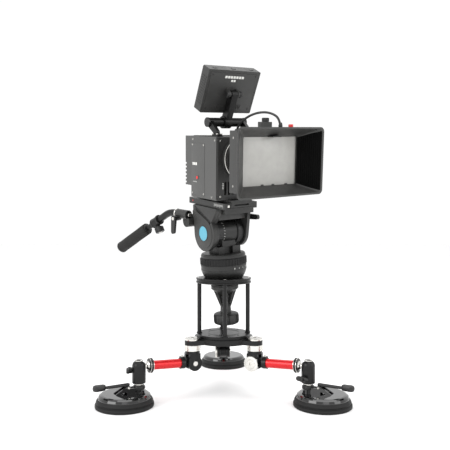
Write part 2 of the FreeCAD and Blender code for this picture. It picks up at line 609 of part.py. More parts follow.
def rod_screw_holes(shape, seat_z, depth_z, head_end_z):
    """Shank and head holes for the rods' end screws."""
    for x, y in rod_centres():
        shape = shape.cut(bar(ROD_SCREW_R + RUN_FIT, (x, y, seat_z), (x, y, depth_z)))
        shape = shape.cut(bar(ROD_SCREW_HEAD_R + 0.2, (x, y, depth_z), (x, y, head_end_z)))
    return shape


def base_plate():
    """Double disc with a lobe for each leg, rod screws and accessory holes."""
    lower = bar(LOWER_DISC_R, (0, 0, BASE_BOTTOM_Z), (0, 0, LOWER_DISC_TOP_Z))
    upper = bar(UPPER_DISC_R, (0, 0, LOWER_DISC_TOP_Z - 1), (0, 0, UPPER_DISC_TOP_Z))
    upper = upper.makeChamfer(0.8, [edge for edge in upper.Edges if edge.BoundBox.ZMin > UPPER_DISC_TOP_Z - 1])
    shape = joined(lower, upper)
    for _, heading, _, _, _ in LEGS:
        out = Vec(math.cos(math.radians(heading)), math.sin(math.radians(heading)), 0)
        lobe = belt_z((BASE_BOTTOM_Z, LOBE_TOP_Z), (out.x * 40.0, out.y * 40.0), 26.0,
                      (out.x * SWIVEL_RADIUS, out.y * SWIVEL_RADIUS), SPACER_R)
        shape = joined(shape, lobe)
        swivel = out * SWIVEL_RADIUS
        seat = bar(SWIVEL_CAP_R + 0.8, (swivel.x, swivel.y, LOBE_TOP_Z), (swivel.x, swivel.y, LOWER_DISC_TOP_Z + 1))
        bore = bar(SWIVEL_BOLT_R + RUN_FIT, (swivel.x, swivel.y, BASE_BOTTOM_Z - 1),
                   (swivel.x, swivel.y, LOBE_TOP_Z + 1))
        shape = shape.cut(seat).cut(bore)
    for index in range(4):
        angle = math.radians(45.0 + 90.0 * index)
        x = ACCESSORY_CIRCLE_R * math.cos(angle)
        y = ACCESSORY_CIRCLE_R * math.sin(angle)
        shape = shape.cut(bar(ACCESSORY_HOLE_R, (x, y, BASE_BOTTOM_Z - 1), (x, y, UPPER_DISC_TOP_Z + 1)))
    head_depth = BASE_BOTTOM_Z + ROD_SCREW_HEAD_H + 0.5
    return rod_screw_holes(shape, UPPER_DISC_TOP_Z, head_depth, BASE_BOTTOM_Z)


def riser_rods():
    """Four rods, each with a countersunk screw at both ends."""
    ring_bottom = UPPER_DISC_TOP_Z + ROD_LENGTH
    low_seat = BASE_BOTTOM_Z + ROD_SCREW_HEAD_H + 0.5
    high_seat = ring_bottom + RING_H - ROD_SCREW_HEAD_H - 0.5
    rods = []
    for x, y in rod_centres():
        rod = bar(ROD_R, (x, y, UPPER_DISC_TOP_Z), (x, y, ring_bottom))
        shank = bar(ROD_SCREW_R, (x, y, low_seat - 1), (x, y, high_seat + 1))
        low_head = bar(ROD_SCREW_HEAD_R, (x, y, low_seat - ROD_SCREW_HEAD_H), (x, y, low_seat))
        high_head = bar(ROD_SCREW_HEAD_R, (x, y, high_seat), (x, y, high_seat + ROD_SCREW_HEAD_H))
        rods.append(joined(rod, shank, low_head, high_head))
    return Part.makeCompound(rods)


def bowl_ring():
    """Grooved ring that carries the bowl's spherical seat."""
    bottom = UPPER_DISC_TOP_Z + ROD_LENGTH
    top = bottom + RING_H
    ring = turned([(0, bottom), (RING_R - 0.6, bottom), (RING_R, bottom + 0.6), (RING_R, bottom + 3.2),
                   (RING_R - 1.6, bottom + 3.8), (RING_R - 1.6, bottom + 6.6), (RING_R, bottom + 7.2),
                   (RING_R, top - 0.6), (RING_R - 0.6, top), (0, top)])
    bowl = Part.makeSphere(BOWL_BACK_R, Vec(0, 0, BALL_CENTRE_Z))
    bowl = bowl.common(block((-RING_R, RING_R), (-RING_R, RING_R), (BALL_CENTRE_Z - BOWL_BACK_R - 1, bottom + 1)))
    shape = joined(ring, bowl).cut(Part.makeSphere(BOWL_SEAT_R, Vec(0, 0, BALL_CENTRE_Z)))
    shape = shape.cut(bar(BOWL_HOLE_R, (0, 0, BALL_CENTRE_Z - BOWL_BACK_R - 2), (0, 0, BALL_CENTRE_Z)))
    head_depth = top - ROD_SCREW_HEAD_H - 0.5
    return rod_screw_holes(shape, bottom, head_depth, top + 1)


def spherical_shell(inner_radius, outer_radius, edge_radius, hole_radius):
    """Zone of a spherical shell below its centre, inside an upright cylinder, with a hole."""
    shell = Part.makeSphere(outer_radius).cut(Part.makeSphere(inner_radius))
    keep = bar(edge_radius, (0, 0, -outer_radius - 1), (0, 0, 0))
    return shell.common(keep).cut(bar(hole_radius, (0, 0, -outer_radius - 1), (0, 0, 0)))


def level_pad():
    """Friction pad between the bowl's back and the clamp cup."""
    inner = BOWL_BACK_R + SLIDE_GAP
    return spherical_shell(inner, inner + PAD_T, PAD_OUTER_R, PAD_HOLE_R)


def ball_base():
    """Half ball with the pan base's flange, the pan spindle and the tie bolt."""
    depth = 0.72 * HALF_BALL_R
    half_ball = Part.makeSphere(HALF_BALL_R).common(bar(HALF_BALL_R, (0, 0, -depth), (0, 0, -BALL_FLANGE_BELOW)))
    flange = bar(BALL_FLANGE_R, (0, 0, -BALL_FLANGE_BELOW), (0, 0, BALL_FLANGE_ABOVE))
    spindle = bar(DRAG_SEAT_R, (0, 0, BALL_FLANGE_ABOVE), (0, 0, SPINDLE_TOP))
    pivot = bar(PAN_PIVOT_R, (0, 0, SPINDLE_TOP - 1), (0, 0, SPINDLE_TOP + PAN_PIVOT_H))
    bolt = bar(TIE_BOLT_R, (0, 0, CLAMP_STEM_END - TIE_KNOB_H + 4), (0, 0, 1 - depth))
    return joined(half_ball, flange, spindle, pivot, bolt)


def clamp_cup():
    """Cup that draws the ball down: band, cone and stem round the tie bolt."""
    shape = turned([(0, CLAMP_STEM_END), (CLAMP_STEM_R + 1.5, CLAMP_STEM_END), (CLAMP_STEM_R, CLAMP_STEM_TOP),
                    (CLAMP_CUP_R, CLAMP_RIM_Z - CLAMP_BAND_H), (CLAMP_CUP_R, CLAMP_RIM_Z + 1), (0, CLAMP_RIM_Z + 1)])
    shape = shape.cut(Part.makeSphere(CLAMP_SEAT_R))
    return shape.cut(bar(TIE_BOLT_R + RUN_FIT, (0, 0, CLAMP_STEM_END - 1), (0, 0, CLAMP_RIM_Z)))


def tie_knob():
    """Lobed knob on the tie bolt."""
    top = CLAMP_STEM_END - 0.3
    bottom = top - TIE_KNOB_H
    hub = bar(TIE_KNOB_R - 6.0, (0, 0, bottom), (0, 0, top))
    lobes = []
    for index in range(6):
        angle = math.radians(60.0 * index)
        x = (TIE_KNOB_R - 7.5) * math.cos(angle)
        y = (TIE_KNOB_R - 7.5) * math.sin(angle)
        lobes.append(bar(7.5, (x, y, bottom), (x, y, top)))
    return joined(hub, *lobes).cut(bar(TIE_BOLT_R + RUN_FIT, (0, 0, bottom - 1), (0, 0, top + 1)))


def riser_nodes():
    """Riser and levelling pieces with their frames."""
    return {
        "base_plate": (base_plate(), BASE),
        "riser_rods": (riser_rods(), BASE),
        "bowl_ring": (bowl_ring(), BASE),
        "level_pad": (level_pad(), PAD),
        "ball_base": (ball_base(), HEAD),
        "clamp_cup": (clamp_cup(), HEAD),
        "tie_knob": (tie_knob(), HEAD),
    }


# ---- fluid head ---------------------------------------------------------------------------
def pan_drag_ring():
    """Ring that sets the pan drag, on the base's spindle."""
    top = DRAG_RING_BOTTOM + DRAG_RING_H
    ring = bar(DRAG_RING_R, (0, 0, DRAG_RING_BOTTOM), (0, 0, top))
    ring = ring.makeChamfer(1.0, [edge for edge in ring.Edges if edge.Closed])
    return ring.cut(bar(DRAG_SEAT_R + RUN_FIT, (0, 0, DRAG_RING_BOTTOM - 1), (0, 0, top + 1)))


def pan_body():
    """Turning base, two feet, the neck and the tilt housing with its cross shaft."""
    disc = bar(PAN_DISC_R, (0, 0, PAN_DISC_BOTTOM), (0, 0, PAN_DISC_TOP))
    rim = [edge for edge in disc.Edges if edge.Closed and edge.BoundBox.ZMin > PAN_DISC_BOTTOM + 1]
    disc = disc.makeChamfer(1.8, rim)
    feet_top = PAN_DISC_TOP + FEET_H
    feet = block((HOUSING_LEFT_X - 9.8, HOUSING_RIGHT_X + 8.8), (-20.0, 20.0), (PAN_DISC_TOP - 1, feet_top))
    for front, back in ((-21.0, -12.0), (12.0, 21.0)):
        recess = block((HOUSING_LEFT_X + 2.7, HOUSING_RIGHT_X - 11.2), (front, back), (PAN_DISC_TOP, feet_top + 1))
        feet = feet.cut(recess)
    neck = block((HOUSING_LEFT_X + 0.7, HOUSING_RIGHT_X - 0.7), (-16.0, 16.0), (feet_top - 1, TILT_AXIS_Z - 12))
    housing = bar(TILT_HOUSING_R, (HOUSING_LEFT_X, 0, TILT_AXIS_Z), (HOUSING_RIGHT_X, 0, TILT_AXIS_Z))
    shaft = bar(TILT_SHAFT_R, (2.0 - ARM_OUTER_X, 0, TILT_AXIS_Z), (ARM_OUTER_X - 2.0, 0, TILT_AXIS_Z))
    shape = joined(disc, feet, neck, housing, shaft)
    pivot_top = SPINDLE_TOP + PAN_PIVOT_H + SLIDE_GAP
    return shape.cut(bar(PAN_PIVOT_R + RUN_FIT, (0, 0, PAN_DISC_BOTTOM - 1), (0, 0, pivot_top)))


def dial(near_x, far_x):
    """Ribbed dial on the tilt shaft, beside the housing."""
    ring = bar(DIAL_R, (near_x, 0, TILT_AXIS_Z), (far_x, 0, TILT_AXIS_Z))
    ring = ring.makeChamfer(0.8, [edge for edge in ring.Edges if edge.Closed])
    return ring.cut(bar(TILT_SHAFT_R + RUN_FIT, (near_x - 1, 0, TILT_AXIS_Z), (far_x + 1, 0, TILT_AXIS_Z)))


def teardrop(x_span, radius, top_half, top_z):
    """Side plate that widens from the tilt axis up to the platform."""
    front = belt_x(x_span, (0, TILT_AXIS_Z), radius, (4.0 - top_half, top_z - 4.0), 4.0)
    back = belt_x(x_span, (0, TILT_AXIS_Z), radius, (top_half - 4.0, top_z - 4.0), 4.0)
    middle = block(x_span, (4.0 - top_half, top_half - 4.0), (top_z - 12.0, top_z))
    filler = block(x_span, (-radius * 0.6, radius * 0.6), (TILT_AXIS_Z, top_z - 6.0))
    return joined(front, back, middle, filler)


def arm_cover():
    """Left arm: teardrop cover with a rear ear for the handle rosette, and its round badge."""
    inner = COVER_INNER_X
    cover = teardrop((-ARM_OUTER_X, inner), COVER_R, 44.0, PLATFORM_BOTTOM)
    ear = belt_x((-ARM_OUTER_X + 6.0, inner - 2.0), (ROSETTE_Y, ROSETTE_Z), ROSETTE_R, (26.0, ROSETTE_Z + 12.0), 16.0)
    shape = joined(cover, ear)
    shaft_hole = bar(TILT_SHAFT_R + RUN_FIT, (1.0 - ARM_OUTER_X, 0, TILT_AXIS_Z), (inner + 1, 0, TILT_AXIS_Z))
    pivot = bar(3.0 + RUN_FIT, (-ARM_OUTER_X - 1, ROSETTE_Y, ROSETTE_Z), (inner + 1, ROSETTE_Y, ROSETTE_Z))
    badge = bar(16.0, (-ARM_OUTER_X - 0.8, 0, TILT_AXIS_Z), (-ARM_OUTER_X, 0, TILT_AXIS_Z))
    return Part.makeCompound([shape.cut(shaft_hole).cut(pivot), badge])


def tilt_frame():
    """Platform with its dovetail, the plate under it and the right arm, in one casting."""
    under = block((COVER_INNER_X, ARM_OUTER_X - 2), (-52.0, 46.0), (PLATFORM_BOTTOM - UNDER_PLATE_T, PLATFORM_BOTTOM))
    arm = teardrop((ARM_INNER_X, ARM_OUTER_X), RIGHT_ARM_R, 40.0, PLATFORM_BOTTOM)
    top = rounded_block((-PLATFORM_HALF_WIDTH, PLATFORM_HALF_WIDTH), (-PLATFORM_HALF_LENGTH, PLATFORM_HALF_LENGTH),
                        (PLATFORM_BOTTOM, PLATFORM_TOP), 3.0)
    length = 2 * PLATFORM_HALF_LENGTH + 2
    channel = [Vec(-DOVETAIL_HALF, 0, DOVETAIL_FLOOR), Vec(DOVETAIL_HALF, 0, DOVETAIL_FLOOR),
               Vec(DOVETAIL_TOP_HALF, 0, PLATFORM_TOP), Vec(DOVETAIL_TOP_HALF, 0, PLATFORM_TOP + 1),
               Vec(-DOVETAIL_TOP_HALF, 0, PLATFORM_TOP + 1), Vec(-DOVETAIL_TOP_HALF, 0, PLATFORM_TOP)]
    slot = Part.Face(Part.makePolygon(channel + channel[:1])).extrude(Vec(0, length, 0))
    slot = moved(slot, (0, -length / 2, 0))
    shaft_hole = bar(TILT_SHAFT_R + RUN_FIT, (ARM_INNER_X - 1, 0, TILT_AXIS_Z), (ARM_OUTER_X - 1.5, 0, TILT_AXIS_Z))
    lever_hole = bar(LOCK_SCREW_R + RUN_FIT, (ARM_INNER_X - 1, LOCK_Y, LOCK_Z), (ARM_OUTER_X + 1, LOCK_Y, LOCK_Z))
    return joined(under, arm, top).cut(slot).cut(shaft_hole).cut(lever_hole)


def lock_lever():
    """Tilt lock on the right arm: screw, hub and a flat lever pointing forward."""
    screw = bar(LOCK_SCREW_R, (ARM_INNER_X + 0.6, LOCK_Y, LOCK_Z), (ARM_OUTER_X + 1.0, LOCK_Y, LOCK_Z))
    hub = bar(6.0, (ARM_OUTER_X + 0.3, LOCK_Y, LOCK_Z), (ARM_OUTER_X + 14.0, LOCK_Y, LOCK_Z))
    paddle = belt_x((ARM_OUTER_X + 8.0, ARM_OUTER_X + 14.0), (LOCK_Y, LOCK_Z), 6.0, (LOCK_Y - 28.0, LOCK_Z + 2.0), 5.0)
    return joined(screw, hub, paddle)


def camera_plate():
    """Dovetail plate under the camera, with a slot across its front face."""
    gap = SLIDE_GAP
    half = DOVETAIL_HALF - gap
    top_half = DOVETAIL_TOP_HALF - gap
    outline = [Vec(-half, 0, DOVETAIL_FLOOR + gap), Vec(half, 0, DOVETAIL_FLOOR + gap),
               Vec(top_half, 0, PLATFORM_TOP), Vec(top_half, 0, BODY_BOTTOM),
               Vec(-top_half, 0, BODY_BOTTOM), Vec(-top_half, 0, PLATFORM_TOP)]
    length = 2 * PLATFORM_HALF_LENGTH - 8.0
    plate = Part.Face(Part.makePolygon(outline + outline[:1])).extrude(Vec(0, length, 0))
    plate = moved(plate, (0, -PLATFORM_HALF_LENGTH - 1.5, 0))
    slot_span = (-PLATFORM_HALF_LENGTH - 2, -PLATFORM_HALF_LENGTH + 5)
    return plate.cut(block((-18.0, 18.0), slot_span, (PLATFORM_TOP - 5.5, PLATFORM_TOP - 2.5)))


def handle_frame():
    """Frame along the handle: X runs back from the clamp, Z up."""
    return TILT.multiply(frame(HANDLE_START, ALONG_Z, 90.0 + HANDLE_YAW))


def handle_clamp():
    """Clamp on the rosette: disc, block and the sleeve round the handle's tube."""
    local = handle_frame().inverse().multiply(TILT)
    disc = bar(ROSETTE_R, (-ARM_OUTER_X - 9.0, ROSETTE_Y, ROSETTE_Z), (-ARM_OUTER_X + 5.7, ROSETTE_Y, ROSETTE_Z))
    screw = bar(3.0, (-ARM_OUTER_X + 5.7, ROSETTE_Y, ROSETTE_Z), (DIAL_LEFT_X - 3.0, ROSETTE_Y, ROSETTE_Z))
    rosette = joined(disc, screw)
    rosette.Placement = local.multiply(rosette.Placement)
    sleeve = bar(HANDLE_TUBE_R + 2.2, (1.0, 0, 0), (36.0, 0, 0))
    paddle_boss = bar(5.5, (29.0, 0, -9.0), (29.0, 13.0, -9.0))
    shape = joined(rosette, sleeve, paddle_boss)
    shape = shape.cut(bar(HANDLE_TUBE_R + RUN_FIT, (-6.0, 0, 0), (37.0, 0, 0)))
    return shape.cut(bar(2.5 + RUN_FIT, (29.0, 9.0, -9.0), (29.0, 14.0, -9.0)))


def clamp_paddle():
    """Flat lever that tightens the sleeve and hangs from its screw."""
    screw = bar(2.5, (29.0, 9.4, -9.0), (29.0, 13.3, -9.0))
    hub = bar(6.5, (29.0, 13.3, -9.0), (29.0, 20.0, -9.0))
    blade = belt_y((14.5, 20.0), (29.0, -9.0), 6.5, (31.0, -38.0), 5.0)
    return joined(screw, hub, blade)


def handle_bend():
    """Point where the handle turns down, and the direction of the bent part."""
    fall = math.radians(HANDLE_DROP)
    corner = Vec(HANDLE_STRAIGHT, 0, 0)
    return corner, Vec(math.cos(fall), 0, -math.sin(fall))


def handle_tube():
    """Bent tube with its end plug and the clamp boss and knob for the grip rod."""
    corner, direction = handle_bend()
    end = corner + direction * HANDLE_BENT_LENGTH
    path = smooth_path([(0, 0, 0), tuple(corner), tuple(end)], [HANDLE_BEND_R])
    tube = round_sweep(path, HANDLE_TUBE_R)
    boss_start = corner + direction * (HANDLE_BENT_LENGTH - 26.0)
    boss = bar(HANDLE_TUBE_R + 3.2, tuple(boss_start), tuple(end))
    knob_at = corner + direction * (HANDLE_BENT_LENGTH - 12.0)
    down = Vec(direction.z, 0, -direction.x)
    neck = bar(5.0, tuple(knob_at), tuple(knob_at + down * 15.0))
    knob = bar(9.5, tuple(knob_at + down * 14.0), tuple(knob_at + down * 26.0))
    rod_hole = bar(GRIP_ROD_R + RUN_FIT, tuple(end - direction * 34.0), tuple(end + direction))
    plug = taper(4.5, 3.8, (0, 0, 0), (-2.2, 0, 0))
    return joined(tube, boss, neck, knob, plug).cut(rod_hole)


def handle_grip():
    """Grip rod with its foam grip; it slides in the bent tube."""
    corner, direction = handle_bend()
    rod_start = corner + direction * (HANDLE_BENT_LENGTH - 32.0)
    grip_start = corner + direction * GRIP_START
    rod = bar(GRIP_ROD_R, tuple(rod_start), tuple(grip_start + direction))
    grip_end = grip_start + direction * GRIP_LENGTH
    grip = bar(GRIP_R, tuple(grip_start), tuple(grip_end))
    rims = [edge for edge in grip.Edges if edge.Closed]
    grip = grip.makeFillet(5.0, rims)
    return joined(rod, grip)


def head_nodes():
    """Pieces of the fluid head with their frames."""
    handle = handle_frame()
    return {
        "pan_drag_ring": (pan_drag_ring(), HEAD),
        "pan_body": (pan_body(), PAN),
        "dial_left": (dial(DIAL_LEFT_X, HOUSING_LEFT_X - 0.3), PAN),
        "dial_right": (dial(HOUSING_RIGHT_X + 0.3, DIAL_RIGHT_X), PAN),
        "arm_cover": (arm_cover(), TILT),
        "tilt_frame": (tilt_frame(), TILT),
        "lock_lever": (lock_lever(), TILT),
        "camera_plate": (camera_plate(), TILT),
        "handle_clamp": (handle_clamp(), handle),
        "clamp_paddle": (clamp_paddle(), handle),
        "handle_tube": (handle_tube(), handle),
        "handle_grip": (handle_grip(), handle),
    }


# ---- camera -------------------------------------------------------------------------------
def camera_body():
    """Box body with a stepped rear module and cooling fins, open at the front plate."""
    main = block((-BODY_HALF_WIDTH, BODY_HALF_WIDTH), (BODY_FRONT_Y, BODY_BACK_Y), (BODY_BOTTOM, BODY_TOP))
    module = block((-BODY_HALF_WIDTH, BODY_HALF_WIDTH), (BODY_BACK_Y, MODULE_BACK_Y), (MODULE_BOTTOM, BODY_TOP))
    shape = joined(main, module)
    inner_half = BODY_HALF_WIDTH - BODY_WALL
    room = block((-inner_half, inner_half), (BODY_FRONT_Y - 1, BODY_BACK_Y - BODY_WALL),
                 (BODY_BOTTOM + BODY_WALL, BODY_TOP - BODY_WALL))
    shape = shape.cut(room)
    for index in range(FIN_COUNT):
        z = MODULE_BOTTOM + 4.0 + FIN_PITCH * index
        shape = shape.cut(block((-BODY_HALF_WIDTH - 1, BODY_HALF_WIDTH + 1), (MODULE_BACK_Y - 4.0, MODULE_BACK_Y + 1),
                                (z, z + 3.5)))
    screw_socket = bar(TOP_SOCKET_R, (0, TOP_SOCKET_Y, BODY_TOP - BODY_WALL - 1), (0, TOP_SOCKET_Y, BODY_TOP + 1))
    return shape.cut(screw_socket)


def camera_front():
    """Front plate with the lens mount, the fan grille and the record button's ring."""
    back = BODY_FRONT_Y
    face = back - FRONT_PLATE_T
    plate = block((-BODY_HALF_WIDTH + 2, BODY_HALF_WIDTH - 2), (face, back), (BODY_BOTTOM + 2, BODY_TOP - 2))
    mount = bar(42.0, (0, back - 1, LENS_Z), (0, face - MOUNT_T, LENS_Z))
    ring = bar(BUTTON_R + 2.2, (BUTTON_X, back - 1, BUTTON_Z), (BUTTON_X, face - 1.6, BUTTON_Z))
    shape = joined(plate, mount, ring)
    for index in range(3):
        x = -36.0 + 9.0 * index
        shape = shape.cut(block((x, x + 5.0), (face - 1, back + 1), (BODY_BOTTOM + 11.0, BODY_BOTTOM + 37.0)))
    shape = shape.cut(bar(BUTTON_R + RUN_FIT, (BUTTON_X, back + 1, BUTTON_Z), (BUTTON_X, face - 3, BUTTON_Z)))
    return shape.cut(bar(26.0, (0, back + 1, LENS_Z), (0, face - MOUNT_T - 1, LENS_Z)))


def record_button():
    """Round button that slides in the front plate."""
    face = BODY_FRONT_Y - FRONT_PLATE_T
    return bar(BUTTON_R, (BUTTON_X, BODY_FRONT_Y - 0.5, BUTTON_Z), (BUTTON_X, face - 3.6, BUTTON_Z))


def lens():
    """Lens barrel with a flange, a seat for the focus ring and a front collar."""
    flange_back = BODY_FRONT_Y - FRONT_PLATE_T - MOUNT_T
    ring_back = FOCUS_RING_Y[1]
    ring_front = FOCUS_RING_Y[0]
    flange = bar(37.5, (0, flange_back, LENS_Z), (0, ring_back + 0.3, LENS_Z))
    barrel = bar(LENS_R, (0, ring_back + 1, LENS_Z), (0, LENS_FRONT_Y, LENS_Z))
    collar_ring = bar(37.5, (0, ring_front - 0.3, LENS_Z), (0, ring_front - 20.0, LENS_Z))
    shape = joined(flange, barrel, collar_ring)
    bore = bar(28.0, (0, flange_back - 4.0, LENS_Z), (0, LENS_FRONT_Y - 1, LENS_Z))
    return shape.cut(bore)


def focus_ring():
    """Focus ring on the lens barrel."""
    ring = bar(FOCUS_RING_R, (0, FOCUS_RING_Y[0], LENS_Z), (0, FOCUS_RING_Y[1], LENS_Z))
    return ring.cut(bar(LENS_R + RUN_FIT, (0, FOCUS_RING_Y[0] - 1, LENS_Z), (0, FOCUS_RING_Y[1] + 1, LENS_Z)))


def tray_slot_span():
    """Depth range of the filter tray's slot in the stage."""
    return TRAY_FRONT_Y - SLIDE_GAP, TRAY_FRONT_Y + TRAY_T + SLIDE_GAP


def matte_box():
    """Flared hood, filter stage, and the ring that clamps the lens."""
    outer = Part.makeLoft([rounded_frame(HOOD_HALF, 9.0, HOOD_FRONT_Y, LENS_Z),
                           rounded_frame(HOOD_BACK_HALF, 6.0, HOOD_BACK_Y, LENS_Z)], True, True)
    rim_inner = (HOOD_HALF[0] - 3.5, HOOD_HALF[1] - 3.5)
    inner = Part.makeLoft([rounded_frame(rim_inner, 6.0, HOOD_FRONT_Y - 0.01, LENS_Z),
                           rounded_frame(FILTER_OPENING_HALF, 4.0, HOOD_BACK_Y, LENS_Z)], True, True)
    stage = block((-HOOD_BACK_HALF[0], HOOD_BACK_HALF[0]), (HOOD_BACK_Y, STAGE_BACK_Y),
                  (LENS_Z - HOOD_BACK_HALF[1], STAGE_TOP))
    opening = block((-FILTER_OPENING_HALF[0], FILTER_OPENING_HALF[0]), (HOOD_BACK_Y - 1, TRAY_FRONT_Y + 1),
                    (LENS_Z - FILTER_OPENING_HALF[1], LENS_Z + FILTER_OPENING_HALF[1]))
    slot_front, slot_back = tray_slot_span()
    tray_slot = block((-TRAY_HALF[0] - SLIDE_GAP, TRAY_HALF[0] + SLIDE_GAP), (slot_front, slot_back),
                      (LENS_Z - TRAY_HALF[1] - SLIDE_GAP, STAGE_TOP + 1))
    lens_ring = bar(LENS_R + 8.0, (0, STAGE_BACK_Y - 1, LENS_Z), (0, STAGE_BACK_Y + 14.0, LENS_Z))
    lens_hole = bar(LENS_R + RUN_FIT, (0, slot_back - 1, LENS_Z), (0, STAGE_BACK_Y + 15.0, LENS_Z))
    bracket = block((-14.0, 12.0), (STAGE_BACK_Y - 10.0, STAGE_BACK_Y), (STAGE_TOP - 1, STAGE_TOP + 16.0))
    knob = bar(5.0, (0, STAGE_BACK_Y - 5.0, STAGE_TOP + 15.0), (0, STAGE_BACK_Y - 5.0, STAGE_TOP + 23.0))
    button = bar(4.0, (62.0, STAGE_BACK_Y - 6.0, STAGE_TOP - 1), (62.0, STAGE_BACK_Y - 6.0, STAGE_TOP + 11.0))
    shape = joined(outer.cut(inner), stage, lens_ring, bracket, knob, button)
    return shape.cut(opening).cut(tray_slot).cut(lens_hole)


def filter_tray():
    """Filter in its frame; it lifts out of the stage's slot."""
    bottom = LENS_Z - TRAY_HALF[1]
    return block((-TRAY_HALF[0], TRAY_HALF[0]), (TRAY_FRONT_Y, TRAY_FRONT_Y + TRAY_T), (bottom, STAGE_TOP + 2.0))


def monitor_mount():
    """Cross tube on two brackets that stand on the camera's top edge."""
    tube = bar(MONITOR_TUBE_R, (MONITOR_TUBE_X[0], TUBE_AXIS_Y, TUBE_AXIS_Z),
               (MONITOR_TUBE_X[1], TUBE_AXIS_Y, TUBE_AXIS_Z))
    pieces = [tube]
    for near, far in ((MONITOR_TUBE_X[0] + 1, MONITOR_TUBE_X[0] + 8), (MONITOR_TUBE_X[1] - 8, MONITOR_TUBE_X[1] - 1)):
        pieces.append(belt_x((near, far), (TUBE_AXIS_Y, TUBE_AXIS_Z), MONITOR_TUBE_R - 1.5, (-42.0, BODY_TOP + 8.0), 5.5))
        pieces.append(block((near - 2, far + 2), (-52.0, -32.0), (BODY_TOP, BODY_TOP + 5.0)))
        pieces.append(block((near, far), (-47.0, -37.0), (BODY_TOP + 4.0, BODY_TOP + 9.0)))
    return joined(*pieces)


def monitor_frame():
    """Frame on the middle of the monitor's back face: X across, -Y out of the back, Z up it."""
    return TILT.multiply(frame(MONITOR_CENTRE, ALONG_X, MONITOR_LEAN))


def monitor_pivot():
    """The monitor's hinge line: a point on it as (y, z) in the platform's frame."""
    lean = math.radians(MONITOR_LEAN)
    y = MONITOR_CENTRE[1] - MONITOR_PIVOT_GAP * math.cos(lean)
    z = MONITOR_CENTRE[2] - MONITOR_PIVOT_GAP * math.sin(lean)
    return y, z


def monitor_arm():
    """Arm that turns on the cross tube and carries the monitor's hinge."""
    half = 8.5
    middle = MONITOR_CENTRE[0]
    span = (middle - half, middle + half)
    pivot = monitor_pivot()
    lower = bar(MONITOR_TUBE_R + 3.6, (span[0], TUBE_AXIS_Y, TUBE_AXIS_Z), (span[1], TUBE_AXIS_Y, TUBE_AXIS_Z))
    link = belt_x((span[0] + 1.5, span[1] - 1.5), (TUBE_AXIS_Y, TUBE_AXIS_Z), 9.0, pivot, 6.5)
    shape = joined(lower, link)
    shape = shape.cut(bar(MONITOR_TUBE_R + RUN_FIT, (span[0] - 1, TUBE_AXIS_Y, TUBE_AXIS_Z),
                          (span[1] + 1, TUBE_AXIS_Y, TUBE_AXIS_Z)))
    pin = bar(3.0, (middle - half - 5.0, *pivot), (middle + half + 5.0, *pivot))
    return joined(shape, pin)


def monitor():
    """Monitor housing with the two ears of its hinge on the back, in the monitor's frame."""
    width, depth, height = MONITOR_SIZE
    shape = block((-width / 2, width / 2), (0, depth), (-height / 2, height / 2))
    upright = [edge for edge in shape.Edges if abs(edge.Vertexes[0].Y - edge.Vertexes[1].Y) > 1e-6]
    shape = shape.makeFillet(3.0, upright)
    ears = []
    for near, far in ((-13.2, -8.8), (8.8, 13.2)):
        ears.append(belt_x((near, far), (-MONITOR_PIVOT_GAP, 0), 5.5, (2.0, 0), 8.0))
    shape = joined(shape, *ears)
    screen = block((-width / 2 + 6, width / 2 - 6), (depth - 1.0, depth + 1), (-height / 2 + 7, height / 2 - 7))
    hole = bar(3.0 + RUN_FIT, (-14.0, -MONITOR_PIVOT_GAP, 0), (14.0, -MONITOR_PIVOT_GAP, 0))
    return shape.cut(screen).cut(hole)


CABLE_ROUTE = (
    (6.0, -40.0, BODY_TOP), (6.0, -40.0, 286.0), (8.0, -58.0, 304.0), (16.0, -88.0, 318.0),
    (28.0, -118.0, 320.0), (34.0, -145.5, 307.0), (34.0, -145.5, STAGE_TOP),
)


def camera_cable():
    """Short lead from the camera's top to the matte box stage, looped up between them."""
    points = [Vec(*point) for point in CABLE_ROUTE]
    radii = []
    for before, here, after in zip(points, points[1:], points[2:]):
        shorter = min((here - before).Length, (after - here).Length)
        half_turn = (math.pi - (before - here).getAngle(after - here)) / 2
        radii.append(0.45 * shorter / math.tan(half_turn))
    print("cable bend radii", [round(radius, 1) for radius in radii])
    return round_sweep(smooth_path(CABLE_ROUTE, radii), CABLE_R)


def camera_nodes():
    """Pieces of the camera with their frames."""
    return {
        "camera_body": (camera_body(), TILT),
        "camera_front": (camera_front(), TILT),
        "record_button": (record_button(), TILT),
        "lens_barrel": (lens(), TILT),
        "focus_ring": (focus_ring(), TILT),
        "matte_box": (matte_box(), TILT),
        "filter_tray": (filter_tray(), TILT),
        "monitor_mount": (monitor_mount(), TILT),
        "monitor_arm": (monitor_arm(), TILT),
        "monitor": (monitor(), monitor_frame()),
        "camera_cable": (camera_cable(), TILT),
    }


def all_nodes():
    """Every node of the assembly: its solid in its own frame, and that frame."""
    nodes = {}
    for leg in LEGS:
        nodes.update(leg_nodes(*leg))
    nodes.update(riser_nodes())
    nodes.update(head_nodes())
    nodes.update(camera_nodes())
    return nodes


def write_nodes():
    """Place each solid in the row frame and write it as a STEP file."""
    os.makedirs("parts", exist_ok=True)
    for name, (shape, placement) in all_nodes().items():
        placed = shape.copy()
        placed.Placement = placement.multiply(placed.Placement)
        placed.exportStep(os.path.join("parts", f"{name}.step"))
        print(f"{name:28s} valid={placed.isValid()} solids={len(placed.Solids)} volume={placed.Volume:.0f}")


write_nodes()
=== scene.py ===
"""Looks of a suction-cup camera support with a levelling riser, a fluid head, its pan handle,
and a box camera with a matte box and a flip-up monitor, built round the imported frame."""
import math
import bmesh
import bpy
from mathutils import Matrix, Vector


